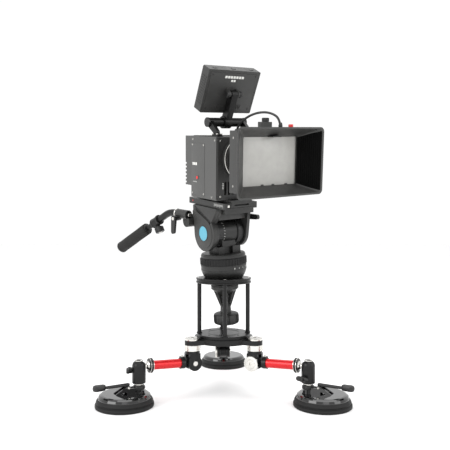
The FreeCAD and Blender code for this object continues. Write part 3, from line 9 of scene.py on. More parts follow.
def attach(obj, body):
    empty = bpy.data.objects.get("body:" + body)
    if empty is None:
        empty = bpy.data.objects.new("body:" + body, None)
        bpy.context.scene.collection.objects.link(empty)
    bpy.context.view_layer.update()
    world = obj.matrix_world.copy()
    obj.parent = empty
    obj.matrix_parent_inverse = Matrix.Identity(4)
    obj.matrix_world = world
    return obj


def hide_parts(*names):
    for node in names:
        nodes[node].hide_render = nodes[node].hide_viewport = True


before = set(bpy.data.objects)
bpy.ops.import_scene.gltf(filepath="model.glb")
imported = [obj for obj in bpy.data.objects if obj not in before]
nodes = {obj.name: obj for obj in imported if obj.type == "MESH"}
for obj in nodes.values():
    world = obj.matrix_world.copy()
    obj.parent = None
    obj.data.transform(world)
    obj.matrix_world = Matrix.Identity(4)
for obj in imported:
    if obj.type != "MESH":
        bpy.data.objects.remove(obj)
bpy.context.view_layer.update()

# ---- camera, floor and light ------------------------------------------------------------------
# A white studio sweep with one broad softbox at the left, weaker ones at the right and in front,
# and a big one overhead.  The camera stands level in front of the riser.
MM = 0.001
EYE = (0.0, -1268.0 * MM, 362.0 * MM)
FOCAL_LENGTH, SENSOR_WIDTH = 47.2, 36.0
LENS_SHIFT = (0.00311, -0.00889)      # as a share of the sensor's width


def linear(code):
    """Turns an sRGB hex code into linear red, green and blue."""
    parts = [int(code[i:i + 2], 16) / 255 for i in (0, 2, 4)]
    return [part / 12.92 if part <= 0.04045 else ((part + 0.055) / 1.055) ** 2.4 for part in parts]


def colour(code):
    return (*linear(code), 1.0)


def add(tree, kind, inputs=None, **settings):
    """Adds a shader node with its settings; an input is a value or another node's socket."""
    node = tree.nodes.new("ShaderNode" + kind)
    for name, value in settings.items():
        setattr(node, name, value)
    for name, value in (inputs or {}).items():
        if isinstance(value, bpy.types.NodeSocket):
            tree.links.new(value, node.inputs[name])
        else:
            node.inputs[name].default_value = value
    return node


eye = bpy.data.cameras.new("eye")
eye.sensor_width, eye.lens = SENSOR_WIDTH, FOCAL_LENGTH
eye.shift_x, eye.shift_y = LENS_SHIFT
eye.clip_start, eye.clip_end = 0.05, 60.0
stand = bpy.data.objects.new("eye", eye)
stand.location = EYE
stand.rotation_euler = (math.radians(90), 0, 0)
bpy.context.scene.collection.objects.link(stand)
bpy.context.scene.camera = stand

world = bpy.data.worlds.new("white_room")
world.use_nodes = True
world.node_tree.nodes["Background"].inputs["Color"].default_value = colour("ffffff")
world.node_tree.nodes["Background"].inputs["Strength"].default_value = 1.03
bpy.context.scene.world = world
bpy.context.scene.view_settings.view_transform = "Standard"


def softbox(name, place, aim, size, watts):
    """Square light aimed at a point."""
    lamp = bpy.data.lights.new(name, "AREA")
    lamp.size, lamp.energy = size, watts
    holder = bpy.data.objects.new(name, lamp)
    holder.location = place
    holder.rotation_euler = (Vector(aim) - Vector(place)).to_track_quat("-Z", "Y").to_euler()
    bpy.context.scene.collection.objects.link(holder)


MIDDLE = (0.0, 0.0, 0.33)
softbox("left_box", (-2.1, -1.5, 1.5), MIDDLE, 1.6, 34.0)
softbox("right_box", (2.3, -1.2, 1.1), MIDDLE, 1.2, 10.0)
softbox("top_box", (0.2, 0.4, 2.6), MIDDLE, 2.0, 24.0)
softbox("front_box", (0.4, -2.6, 1.4), MIDDLE, 1.4, 8.0)

bpy.ops.object.select_all(action="DESELECT")
bpy.ops.mesh.primitive_plane_add(size=16.0)
floor = bpy.context.object
floor.name = "floor"
# matt paper: an even white with no visible grain
white_paper = bpy.data.materials.new("white_paper_sweep")
white_paper.use_nodes = True
white_paper.node_tree.nodes["Principled BSDF"].inputs["Base Color"].default_value = colour("fbfbfb")
white_paper.node_tree.nodes["Principled BSDF"].inputs["Roughness"].default_value = 0.75
floor.data.materials.append(white_paper)


# ---- lead from the camera to the matte box ------------------------------------------------------
# A short round PVC lead.  It comes out of a plug on the camera's top, loops up in a free curve
# and goes down into the matte box.  It is soft, so it bends wide.
def shift(x, y, z):
    return Matrix.Translation((x * MM, y * MM, z * MM))


def turn(degrees, axis):
    return Matrix.Rotation(math.radians(degrees), 4, axis)


TO_X = turn(90, "Y")          # a piece turned about Z then points along +X
TO_FRONT = turn(90, "X")      # and then along -Y

# the head's frames, one on the other: levelled on its half ball, panned, and tilted
LEAN_LEFT, LEAN_FRONT, PAN_TURN, TILT_DOWN = 2.85, 4.64, 34.04, 5.85
TILT_AXIS_Z = 69.0
BALL_CENTRE = shift(0, 0, 271.0)
LEAN = BALL_CENTRE @ turn(-LEAN_LEFT, "Y") @ turn(LEAN_FRONT, "X")
PAN = LEAN @ turn(PAN_TURN, "Z")
TILT = PAN @ shift(0, 0, TILT_AXIS_Z) @ turn(TILT_DOWN, "X") @ shift(0, 0, -TILT_AXIS_Z)


MOTTLE_SIZE = 26.0            # width in mm of the slow change of tone on every finish


def surface(name, code, roughness, metallic=0.0, grain=0.5, height=0.02, stretch=(1, 1, 1), mottle=0.12,
            **sockets):
    """Material: fine grain of a size in mm raises the surface, and a slow mottle shifts tone and gloss."""
    material = bpy.data.materials.new(name)
    material.use_nodes = True
    tree = material.node_tree
    shader = tree.nodes["Principled BSDF"]
    place = add(tree, "TexCoord").outputs["Object"]
    drawn = add(tree, "Mapping", {"Vector": place, "Scale": [1 / s for s in stretch]})
    fine = add(tree, "TexNoise", {"Vector": drawn.outputs[0], "Scale": 1 / (grain * MM), "Detail": 3.0})
    slow = add(tree, "TexNoise", {"Vector": drawn.outputs[0], "Scale": 1 / (MOTTLE_SIZE * MM), "Detail": 4.0,
                                  "Roughness": 0.6})
    tone, fleck = (add(tree, "MapRange", {"Value": noise.outputs["Fac"], 1: 0.3, 2: 0.7,
                                          3: 1 - mottle, 4: 1 + mottle}) for noise in (slow, fine))
    both = add(tree, "Math", {0: tone.outputs[0], 1: fleck.outputs[0]}, operation="MULTIPLY")
    tint = add(tree, "VectorMath", {0: linear(code), "Scale": both.outputs[0]}, operation="SCALE")
    tree.links.new(tint.outputs[0], shader.inputs["Base Color"])
    gloss = add(tree, "MapRange", {"Value": slow.outputs["Fac"], 1: 0.3, 2: 0.7, 3: roughness * 0.85,
                                   4: min(1.0, roughness * 1.15)})
    tree.links.new(gloss.outputs[0], shader.inputs["Roughness"])
    raised = add(tree, "Bump", {"Height": fine.outputs["Fac"], "Distance": height * MM, "Strength": 1.0})
    tree.links.new(raised.outputs[0], shader.inputs["Normal"])
    shader.inputs["Metallic"].default_value = metallic
    for socket, value in sockets.items():
        shader.inputs[socket.replace("_", " ")].default_value = value
    return material


def begin(name, primitive, **size):
    """Adds a primitive with nothing else selected and opens it for editing."""
    bpy.ops.object.select_all(action="DESELECT")
    primitive(**size)
    piece = bpy.context.object
    piece.name = piece.data.name = name
    bpy.ops.object.mode_set(mode="EDIT")
    bpy.ops.mesh.select_mode(type="VERT")
    bpy.ops.mesh.select_all(action="SELECT")
    return piece


def settle(piece, place, body, material, smooth=35.0):
    """Closes a piece, writes its place into its mesh, and lets it ride on a body."""
    if piece.mode == "EDIT":
        bpy.ops.mesh.select_all(action="SELECT")
        bpy.ops.mesh.normals_make_consistent(inside=False)
        bpy.ops.object.mode_set(mode="OBJECT")
    piece.data.transform(place @ piece.matrix_basis)
    piece.matrix_basis = Matrix.Identity(4)
    bpy.ops.object.select_all(action="DESELECT")
    piece.select_set(True)
    bpy.context.view_layer.objects.active = piece
    bpy.ops.object.shade_smooth_by_angle(angle=math.radians(smooth))
    piece.data.materials.clear()
    piece.data.materials.append(material)
    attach(piece, body)
    return piece


def turned_piece(name, outline, sides=72, ring=False):
    """Piece turned about its own Z from (radius, height) points in mm; a ring's outline closes."""
    points = list(outline) + (list(outline[:1]) if ring else [])
    piece = begin(name, bpy.ops.mesh.primitive_circle_add, vertices=sides, radius=points[0][0] * MM,
                  fill_type="NOTHING" if ring else "NGON")
    bpy.ops.transform.translate(value=(0, 0, points[0][1] * MM))
    for (near_r, near_z), (far_r, far_z) in zip(points, points[1:]):
        bpy.ops.mesh.extrude_region_move(TRANSFORM_OT_translate={"value": (0, 0, (far_z - near_z) * MM)})
        grow = far_r / near_r
        bpy.ops.transform.resize(value=(grow, grow, 1), center_override=(0, 0, far_z * MM))
    bpy.ops.mesh.select_all(action="SELECT")
    bpy.ops.mesh.remove_doubles(threshold=0.001 * MM)
    bpy.ops.mesh.normals_make_consistent(inside=False)
    return piece


def dress(material, *names):
    """Gives CAD nodes their material."""
    for name in names:
        nodes[name].data.materials.clear()
        nodes[name].data.materials.append(material)


# PVC jacket: even black with a slight satin shine
pvc = surface("black_pvc_jacket", "1b1b1b", 0.42, grain=0.8, height=0.01)
CABLE_DIAMETER = 4.6
CABLE_ROUTE = (
    (6.0, -40.0, 271.2), (6.0, -40.0, 286.0), (8.0, -58.0, 304.0), (16.0, -88.0, 318.0),
    (28.0, -118.0, 320.0), (34.0, -145.5, 307.0), (34.0, -145.5, 284.8),
)
route = bpy.data.curves.new("camera_lead", "CURVE")
route.dimensions = "3D"
route.bevel_depth = CABLE_DIAMETER / 2 * MM
route.bevel_resolution = 6
route.resolution_u = 24
route.use_fill_caps = True
line = route.splines.new("NURBS")
line.points.add(len(CABLE_ROUTE) - 1)
for point, spot in zip(line.points, CABLE_ROUTE):
    point.co = (*(TILT @ (Vector(spot) * MM)), 1.0)
line.use_endpoint_u = True
line.order_u = 3
route.materials.append(pvc)
lead = bpy.data.objects.new("camera_lead", route)
bpy.context.scene.collection.objects.link(lead)
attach(lead, "camera")
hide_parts("camera_cable")
# strain reliefs: a moulded cone where the lead leaves the camera, and one where it ends
RELIEF = [(5.6, 0.0), (5.6, 1.6), (4.6, 2.4), (4.4, 6.0), (3.9, 6.6), (3.9, 7.6), (4.2, 8.2), (3.5, 12.0),
          (2.6, 15.0)]
for end, spot in (("camera", CABLE_ROUTE[0]), ("stage", CABLE_ROUTE[-1])):
    relief = turned_piece(f"lead_relief_{end}", RELIEF, 40)
    settle(relief, TILT @ shift(*spot), "camera", pvc)


# ---- suction cups -------------------------------------------------------------------------------
# Three vacuum cups.  A moulded rubber skirt with a groove and a sealing lip sits under a glossy
# ABS shell, and a ribbed crown nut holds the ball socket's stud to it.
LEGS = {"left": 210.0, "right": 330.0, "rear": 90.0}
CAP_SIDE = {"left": -1, "right": -1, "rear": 1}
SWIVEL_R = 75.0
KNUCKLE_Z = 67.5
LEG_PITCH = 3.0
BALL_ALONG_ARM = 119.15
CUP_OFFSET = 30.0


def leg_places(name):
    """Frames of a leg: at the riser's axis, along the arm, upright at the ball, on the floor below it."""
    leg = turn(LEGS[name], "Z")
    arm = leg @ shift(SWIVEL_R, 0, KNUCKLE_Z) @ turn(-LEG_PITCH, "Y")
    pitch = math.radians(LEG_PITCH)
    out, up = BALL_ALONG_ARM * math.cos(pitch), BALL_ALONG_ARM * math.sin(pitch)
    return leg, arm, leg @ shift(SWIVEL_R + out, 0, KNUCKLE_Z + up), leg @ shift(SWIVEL_R + out, 0, 0)


def pick(piece, wanted):
    """Selects the faces whose centre and normal pass a test."""
    bpy.ops.mesh.select_mode(type="FACE")
    bpy.ops.mesh.select_all(action="DESELECT")
    mesh = bmesh.from_edit_mesh(piece.data)
    for face in mesh.faces:
        face.select_set(bool(wanted(face.calc_center_median(), face.normal)))
    bmesh.update_edit_mesh(piece.data)


def raise_ribs(piece, low, high, facets, every, wide, height):
    """Raises ribs round a turned piece between two heights: so many facets wide in every few."""
    step = math.tau / facets

    def on_rib(centre, normal):
        facet = math.floor((math.atan2(centre.y, centre.x) % math.tau) / step)
        return low * MM < centre.z < high * MM and abs(normal.z) < 0.7 and facet % every < wide

    pick(piece, on_rib)
    bpy.ops.mesh.extrude_region_shrink_fatten(TRANSFORM_OT_shrink_fatten={"value": height * MM})


# EPDM rubber: matt, slightly dusty black with a fine moulded skin
rubber = surface("epdm_rubber", "161616", 0.62, grain=1.2, height=0.04, mottle=0.16,
                 Specular_IOR_Level=0.3)
# gloss ABS: deep black that mirrors the room
gloss_abs = surface("gloss_black_abs", "060606", 0.09, grain=6.0, height=0.006, mottle=0.05,
                    Coat_Weight=0.5, Coat_Roughness=0.05)
# satin ABS: the crown nut, knobs and lever, moulded with a fine texture
satin_abs = surface("satin_black_abs", "151515", 0.4, grain=0.9, height=0.03)
# zinc-plated steel: pins and screws, bright with soft scratches
zinc = surface("zinc_plated_steel", "c9c7c2", 0.26, 1.0, grain=0.7, height=0.012, stretch=(1, 1, 6))

SKIRT = [(12, 3.6), (48.5, 2.2), (53.5, 0.0), (56.4, 0.0), (57.2, 0.6), (57.5, 1.6), (57.5, 5.6), (57.1, 6.5),
         (56.2, 7.2), (54.7, 7.8), (54.3, 8.6), (54.5, 9.6), (55.3, 10.4), (55.4, 11.4), (54.9, 12.6),
         (53.6, 15.2), (53.0, 16.4), (52.5, 17.0), (52.1, 17.0), (52.1, 12.0), (12, 12.0)]
CROWN = [(5.2, 29.4), (11.2, 29.4), (11.7, 30.0), (11.7, 34.6), (11.0, 36.2), (9.0, 36.6), (5.2, 36.6)]
VALVE = [(4.2, 24.0), (4.2, 25.5), (3.7, 26.0), (2.4, 26.0), (2.0, 25.4)]
VALVE_HEADING, VALVE_OUT = 150.0, 31.0
LEVER_PIN = (24.0, 0.0, 35.0)
for name in LEGS:
    cup = leg_places(name)[3]
    middle = cup @ shift(CUP_OFFSET, 0, 0)
    skirt = turned_piece(f"{name}_rubber_skirt", SKIRT, 128, ring=True)
    settle(skirt, middle, f"leg_{name}_cup", rubber)
    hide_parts(f"leg_{name}_cup_rubber")
    dress(gloss_abs, f"leg_{name}_cup_shell")
    crown = turned_piece(f"{name}_crown_nut", CROWN, 48, ring=True)
    raise_ribs(crown, 30.1, 34.5, 48, 4, 2, 0.8)
    settle(crown, cup, f"leg_{name}_cup", satin_abs)
    # the vent valve: a low button with a dimple, on the shell's shoulder
    valve = turned_piece(f"{name}_vent_valve", VALVE, 32)
    settle(valve, middle @ turn(VALVE_HEADING, "Z") @ shift(VALVE_OUT, 0, 0), f"leg_{name}_cup", satin_abs)
    # plated ends of the lever's pin, domed over the cheeks
    for side in (-1, 1):
        end = turned_piece(f"{name}_pin_end_{'inner' if side < 0 else 'outer'}",
                           [(2.6, 8.0), (2.6, 9.2), (2.1, 9.8), (1.0, 10.1)], 24)
        settle(end, cup @ shift(*LEVER_PIN) @ turn(-90 * side, "X"), f"leg_{name}_cup", zinc)

# ---- cup levers ---------------------------------------------------------------------------------
# A pressed channel runs from the cam over the shell and ends in a moulded oval grip.  Lifting it
# lets the air in.
LEVER_LENGTH = 94.0
GRIP_START = LEVER_LENGTH - 26.0
CAM = [(2.3, -4.6), (4.2, -4.6), (4.6, -4.2), (4.6, 4.2), (4.2, 4.6), (2.3, 4.6)]


def block_piece(name, x_span, y_span, z_span, edge=0.6):
    """Block between pairs of coordinates in mm with every edge eased."""
    piece = begin(name, bpy.ops.mesh.primitive_cube_add, size=1.0)
    spans = (x_span, y_span, z_span)
    bpy.ops.transform.resize(value=[(high - low) * MM for low, high in spans])
    bpy.ops.transform.translate(value=[(high + low) / 2 * MM for low, high in spans])
    if edge:
        bpy.ops.mesh.bevel(offset=edge * MM, segments=2, affect="EDGES")
    return piece


def more(primitive, **size):
    """Adds one more primitive to the piece that is open, and leaves only that selected."""
    bpy.ops.mesh.select_mode(type="VERT")
    bpy.ops.mesh.select_all(action="DESELECT")
    primitive(**size)


def hulled_piece(name, discs, near, far, edge=0.8, sides=40):
    """Plate whose outline wraps discs (x, y, radius), from one height to another, with its rims eased."""
    x, y, radius = discs[0]
    piece = begin(name, bpy.ops.mesh.primitive_circle_add, vertices=sides, radius=radius * MM,
                  location=(0, 0, 0))
    bpy.ops.transform.translate(value=(x * MM, y * MM, near * MM))
    rest = [(x, y, radius, far)] + [(*disc, height) for disc in discs[1:] for height in (near, far)]
    for x, y, radius, height in rest:
        more(bpy.ops.mesh.primitive_circle_add, vertices=sides, radius=radius * MM,
             location=(x * MM, y * MM, height * MM))
    bpy.ops.mesh.select_all(action="SELECT")
    bpy.ops.mesh.convex_hull()
    bpy.ops.mesh.select_all(action="SELECT")
    bpy.ops.mesh.dissolve_limited(angle_limit=math.radians(0.5))
    pick(piece, lambda centre, normal: abs(normal.z) > 0.9)
    bpy.ops.mesh.region_to_loop()
    bpy.ops.mesh.bevel(offset=edge * MM, segments=2, affect="EDGES")
    return piece


for name in LEGS:
    cup = leg_places(name)[3]
    # the channel's web with its two flanges, sunk into a tapering strip
    strip = [(LEVER_PIN[0], 0, 4.4), (GRIP_START + 2, 0, 3.4)]
    channel = hulled_piece(f"{name}_lever_channel", strip, 38.2, 42.6, 0.5)
    pick(channel, lambda centre, normal: normal.z > 0.9)
    bpy.ops.mesh.inset(thickness=1.1 * MM, depth=0)
    bpy.ops.mesh.extrude_region_move(TRANSFORM_OT_translate={"value": (0, 0, -1.8 * MM)})
    settle(channel, cup, f"leg_{name}_lever", satin_abs)
    cam = turned_piece(f"{name}_lever_cam", CAM, 36, ring=True)
    settle(cam, cup @ shift(*LEVER_PIN) @ turn(90, "X"), f"leg_{name}_lever", satin_abs)
    root = block_piece(f"{name}_lever_root", (21.5, 30.0), (-4.3, 4.3), (36.2, 40.4), 0.8)
    settle(root, cup, f"leg_{name}_lever", satin_abs)
    oval = [(GRIP_START + 6.5, 0, 6.5), (LEVER_LENGTH - 8.0, 0, 8.0)]
    grip = hulled_piece(f"{name}_lever_grip", oval, 35.6, 47.4, 4.2, 48)
    pick(grip, lambda centre, normal: normal.z > 0.95)
    bpy.ops.mesh.inset(thickness=1.2 * MM, depth=-0.5 * MM)
    settle(grip, cup, f"leg_{name}_lever", satin_abs)
    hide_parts(f"leg_{name}_cup_lever")

# ---- ball sockets, wing screws and ball stems ---------------------------------------------------
# The socket is turned from aluminium and anodised black, with a mouth towards the arm.  The steel
# ball stands on a stem with a black flange against the end of the red tube.
# anodised aluminium, black: dark satin with a faint metallic lift
black_anodised = surface("black_anodised_aluminium", "1c1c1c", 0.34, 0.55, grain=0.45, height=0.012,
                         stretch=(1, 1, 3))
# anodised aluminium, red: an even dyed layer over metal, with a thin clear shine
red_anodised = surface("red_anodised_aluminium", "d00a16", 0.3, 0.35, grain=0.6, height=0.01, mottle=0.05,
                       Coat_Weight=0.2, Coat_Roughness=0.12)
# nickel-plated brass and steel: warm white metal
nickel = surface("nickel_plated_steel", "dcdad5", 0.2, 1.0, grain=0.5, height=0.006)
FLANGE = [(9.35, 91.8), (13.6, 91.8), (14.9, 92.8), (14.9, 97.0), (14.3, 97.9), (13.2, 98.3), (9.35, 98.3)]
LINER = [(6.8, 11.2), (6.8, 12.3), (7.4, 12.5), (8.6, 12.1), (8.6, 11.2)]
STUD_NUT = [(4.1, 36.7), (7.4, 36.7), (7.8, 37.1), (7.8, 39.6), (7.4, 40.0), (4.1, 40.0)]
WING_HUB = [(4.9, 13.9), (5.6, 14.4), (5.6, 19.5), (4.6, 24.4), (3.0, 25.0)]
WINGS = {"left": (-30.0, -8.0), "right": (-105.0, -22.0), "rear": (-90.0, -15.0)}    # heading, height
for name in LEGS:
    leg, arm, socket, cup = leg_places(name)
    heading, height = WINGS[name]
    dress(black_anodised, f"leg_{name}_socket")
    dress(nickel, f"leg_{name}_ball_stem")
    dress(red_anodised, f"leg_{name}_tube")
    flange = turned_piece(f"{name}_stem_flange", FLANGE, 72, ring=True)
    settle(flange, arm @ TO_X, f"leg_{name}_arm", black_anodised)
    # nickel liner that shows round the socket's open top
    liner = turned_piece(f"{name}_socket_liner", LINER, 48, ring=True)
    settle(liner, socket, f"leg_{name}_ball_socket", nickel)
    # jam nut on the stud, between the socket and the crown nut
    nut = turned_piece(f"{name}_stud_nut", STUD_NUT, 6, ring=True)
    settle(nut, cup, f"leg_{name}_ball_socket", nickel, smooth=20)
    # wing screw: a moulded hub and two dished wings over the plain screw
    wing_at = socket @ shift(0, 0, height) @ turn(heading, "Z") @ TO_X
    wing = hulled_piece(f"{name}_wing", [(0, -8.6, 4.7), (0, 8.6, 4.7)], 17.4, 23.4, 1.4)
    pick(wing, lambda centre, normal: normal.z > 0.95)
    bpy.ops.mesh.inset(thickness=1.4 * MM, depth=-0.9 * MM)
    settle(wing, wing_at, f"leg_{name}_wing", satin_abs)
    hub = turned_piece(f"{name}_wing_hub", WING_HUB, 36)
    raise_ribs(hub, 14.5, 19.4, 36, 3, 1, 0.4)
    settle(hub, wing_at, f"leg_{name}_wing", satin_abs)
    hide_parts(f"leg_{name}_wing_knob")
    screw = turned_piece(f"{name}_wing_screw", [(2.5, 8.8), (2.5, 14.0), (2.4, 14.2)], 24)
    settle(screw, wing_at, f"leg_{name}_wing", zinc)

# ---- collars, forks and swivels -----------------------------------------------------------------
# Each arm hangs from a lobe of the base on a plated swivel bolt: a cap with a hex socket above, a
# knurled spacer below.  A fork and a collar make the knuckle, drawn up by a broad hand nut.
def cut_hex(piece, across, near, far):
    """Cuts a hex socket along a piece's own Z, between two heights."""
    if piece.mode == "EDIT":
        bpy.ops.object.mode_set(mode="OBJECT")
    bpy.ops.object.select_all(action="DESELECT")
    bpy.ops.mesh.primitive_cylinder_add(vertices=6, radius=across / 2 / math.cos(math.pi / 6) * MM,
                                        depth=(far - near) * MM, location=(0, 0, (near + far) / 2 * MM))
    tool = bpy.context.object
    bpy.context.view_layer.objects.active = piece
    cut = piece.modifiers.new("hex_socket", "BOOLEAN")
    cut.operation, cut.solver, cut.object = "DIFFERENCE", "EXACT", tool
    bpy.ops.object.modifier_apply(modifier=cut.name)
    bpy.data.objects.remove(tool)
    return piece


def socket_screw(name, head_r=2.6, head_h=2.2, key=2.6):
    """Cap screw head on its own Z, seated at height 0, with a knurled side and a hex socket."""
    screw = turned_piece(name, [(head_r, -0.6), (head_r, head_h - 0.4), (head_r - 0.4, head_h)], 36)
    raise_ribs(screw, 0.2, head_h - 0.5, 36, 3, 1, 0.12)
    return cut_hex(screw, key, head_h - 1.2, head_h + 1)


def gather(name, made, body, material):
    """Joins finished meshes into one piece."""
    bpy.ops.object.select_all(action="DESELECT")
    for mesh in made:
        mesh.select_set(True)
    bpy.context.view_layer.objects.active = made[0]
    bpy.ops.object.join()
    made[0].name = made[0].data.name = name
    return settle(made[0], Matrix.Identity(4), body, material)


def copies(name, model, places, body, material, keep=False):
    """Copies of a model at every place, each with its own mesh, in one piece; the model is then put away."""
    if model.mode == "EDIT":
        bpy.ops.object.mode_set(mode="OBJECT")
    made = []
    for place in places:
        copy = model.copy()
        copy.data = model.data.copy()
        copy.data.transform(place)
        bpy.context.scene.collection.objects.link(copy)
        made.append(copy)
    if not keep:
        bpy.data.objects.remove(model)
    return gather(name, made, body, material)


LOBE_TOP = 114.2
SPACER_LOW = 92.6
PINCH_SCREW = (25.0, 0, 13.5)
KNUCKLE_FACE = 14.0
CAP = [(16.0, 0.0), (16.2, 0.5), (16.2, 3.6), (15.2, 4.7), (9.6, 4.9), (9.2, 4.5), (8.4, 4.5), (8.0, 4.9),
       (5.6, 4.9)]
KNURLED = [(5.1, 0.0), (16.0, 0.0), (16.5, 0.5), (16.5, 11.7), (16.0, 12.2), (5.1, 12.2)]
HAND_NUT = [(15.0, 0.0), (15.5, 0.5), (15.5, 4.2), (14.9, 4.9), (10.2, 5.0), (9.8, 4.6), (8.8, 4.6),
            (8.4, 5.0), (5.4, 5.0)]
KNUCKLE_BOLT = [(4.6, -15.7), (5.2, -15.1), (5.2, -14.0), (3.95, -13.9), (3.95, 14.1)]
for name in LEGS:
    leg, arm, socket, cup = leg_places(name)
    swivel = leg @ shift(SWIVEL_R, 0, 0)
    body = f"leg_{name}_swivel"
    dress(black_anodised, f"leg_{name}_fork", f"leg_{name}_collar")
    cap = cut_hex(turned_piece(f"{name}_swivel_cap", CAP, 72), 6.6, 2.2, 6.0)
    settle(cap, swivel @ shift(0, 0, LOBE_TOP), body, nickel)
    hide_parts(f"leg_{name}_swivel_bolts")
    spacer = turned_piece(f"{name}_swivel_spacer", KNURLED, 96, ring=True)
    raise_ribs(spacer, 1.2, 11.0, 96, 3, 2, 0.35)
    settle(spacer, swivel @ shift(0, 0, SPACER_LOW), body, nickel, smooth=20)
    shank = turned_piece(f"{name}_swivel_shank", [(4.4, 86.3), (4.9, 86.9), (4.9, 114.4)], 36)
    settle(shank, swivel, body, nickel)
    knuckle = arm @ turn(-90 * CAP_SIDE[name], "X")
    nut = turned_piece(f"{name}_hand_nut", HAND_NUT, 96)
    raise_ribs(nut, 0.7, 4.1, 96, 4, 2, 0.35)
    cut_hex(nut, 6.8, 2.2, 6.0)
    settle(nut, knuckle @ shift(0, 0, KNUCKLE_FACE), body, nickel, smooth=25)
    settle(turned_piece(f"{name}_knuckle_bolt", KNUCKLE_BOLT, 36), knuckle, body, nickel)
    pinch = socket_screw(f"{name}_pinch_screw", 2.9, 2.6, 2.9)
    settle(pinch, arm @ shift(*PINCH_SCREW), f"leg_{name}_arm", nickel)

# ---- base plate, rods and bowl ring -------------------------------------------------------------
# Two turned aluminium discs joined by four rods.  The rods are held by plated cap screws, and the
# upper ring carries the levelling bowl.
dress(black_anodised, "base_plate", "riser_rods", "bowl_ring")
ROD_CIRCLE = 52.0
ROD_START = 3.0
RING_TOP = 241.0
BASE_TOP, BASE_UNDERSIDE = 122.5, 105.6
STEP_RING = [(33.0, BASE_TOP - 0.05), (33.4, BASE_TOP + 0.4), (34.2, BASE_TOP + 0.4), (34.6, BASE_TOP - 0.05)]
ROD_FOOT = [(4.52, 0.0), (6.2, 0.0), (6.2, 1.2), (5.2, 2.6), (4.52, 2.9)]
rods = [turn(ROD_START + 90 * index, "Z") @ shift(ROD_CIRCLE, 0, 0) for index in range(4)]
rod_model = socket_screw("rod_model", 4.3, 0.9, 4.0)
upper = [rod @ shift(0, 0, RING_TOP - 0.6) for rod in rods]
lower = [rod @ shift(0, 0, BASE_UNDERSIDE) @ turn(180, "X") for rod in rods]
copies("ring_screws", rod_model, upper, "base", nickel, keep=True)
copies("base_screws", rod_model, lower, "base", nickel)
# a small turned foot where each rod meets the base
copies("rod_feet", turned_piece("foot_model", ROD_FOOT, 40, ring=True),
       [rod @ shift(0, 0, BASE_TOP) for rod in rods], "base", black_anodised)
# a machined step ring on the base's top
step_ring = turned_piece("base_step_ring", STEP_RING, 128, ring=True)
settle(step_ring, Matrix.Identity(4), "base", black_anodised)

# ---- levelling clamp and its knob ---------------------------------------------------------------
# Glass-filled nylon: the cup drawn up under the bowl by a long stem and a lobed hand knob.
# glass-filled nylon: dull charcoal black with a coarse moulded grain
nylon = surface("glass_filled_nylon", "1e1e1d", 0.5, grain=1.0, height=0.05, mottle=0.14)
dress(nylon, "clamp_cup", "level_pad")
# eight gusset ribs between the cup and its stem
RIB = [(13.5, -66, 1.0), (11.0, -92.0, 0.9), (24.5, -55.0, 0.9)]
RIBS = 8
spots = [LEAN @ turn(360 / RIBS * index, "Z") @ TO_FRONT for index in range(RIBS)]
copies("clamp_ribs", hulled_piece("rib_model", RIB, -1.1, 1.1, 0.3, 16), spots, "ball", nylon)
KNOB_LOW, KNOB_HIGH = -130.0, -108.2
KNOB = [(6.1, KNOB_LOW), (24.0, KNOB_LOW), (26.4, KNOB_LOW + 1.6), (27.4, KNOB_LOW + 5.0),
        (27.4, KNOB_HIGH - 5.0), (26.4, KNOB_HIGH - 1.6), (24.0, KNOB_HIGH), (6.1, KNOB_HIGH)]
lobes = turned_piece("tie_knob_lobes", KNOB, 72, ring=True)


def between_lobes(centre, normal):
    """Six lobes and six valleys round the rim, 30 degrees each."""
    turn_in_lobe = (math.degrees(math.atan2(centre.y, centre.x)) + 15) % 60
    return math.hypot(centre.x, centre.y) > 22 * MM and turn_in_lobe > 30 and abs(normal.z) < 0.8


pick(lobes, between_lobes)
bpy.ops.mesh.extrude_region_shrink_fatten(TRANSFORM_OT_shrink_fatten={"value": -4.2 * MM})
bpy.ops.object.mode_set(mode="OBJECT")
soften = lobes.modifiers.new("soft_lobes", "BEVEL")
soften.width, soften.segments, soften.limit_method = 0.8 * MM, 2, "ANGLE"
soften.angle_limit = math.radians(40)
bpy.ops.object.modifier_apply(modifier=soften.name)
settle(lobes, LEAN, "tie_down_knob", nylon)
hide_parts("tie_knob")

# ---- pan base and drag ring ---------------------------------------------------------------------
# The head's foot is an aluminium casting under black crackle paint, with a half ball below.  A
# moulded rubber ring with upright ribs turns on it and sets the drag, and figures are printed on
# the flange below.
# crackle paint: dull black over cast metal, finely wrinkled all over
crackle = surface("black_crackle_paint", "292928", 0.46, grain=0.7, height=0.07, mottle=0.12)
dress(crackle, "tilt_frame", "camera_plate", "handle_clamp")
# the pan base's own paint is deeper
deep_crackle = surface("deep_black_crackle_paint", "151514", 0.44, grain=0.7, height=0.07, mottle=0.12)
dress(deep_crackle, "ball_base", "pan_body")
# screen print: a thin flat layer of off-white ink
white_print = surface("white_screen_print", "d8d8d4", 0.55, grain=0.4, height=0.004, mottle=0.04)
DRAG_LOW, DRAG_HIGH = 0.9, 14.8
DRAG_RING = [(38.2, DRAG_LOW), (48.6, DRAG_LOW), (49.2, 1.6), (49.2, DRAG_HIGH - 0.8), (48.5, DRAG_HIGH),
             (38.2, DRAG_HIGH)]
ring = turned_piece("pan_drag_grip", DRAG_RING, 192, ring=True)
raise_ribs(ring, 1.7, DRAG_HIGH - 0.9, 192, 4, 2, 0.8)
settle(ring, LEAN, "pan_drag", rubber, smooth=25)
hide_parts("pan_drag_ring")
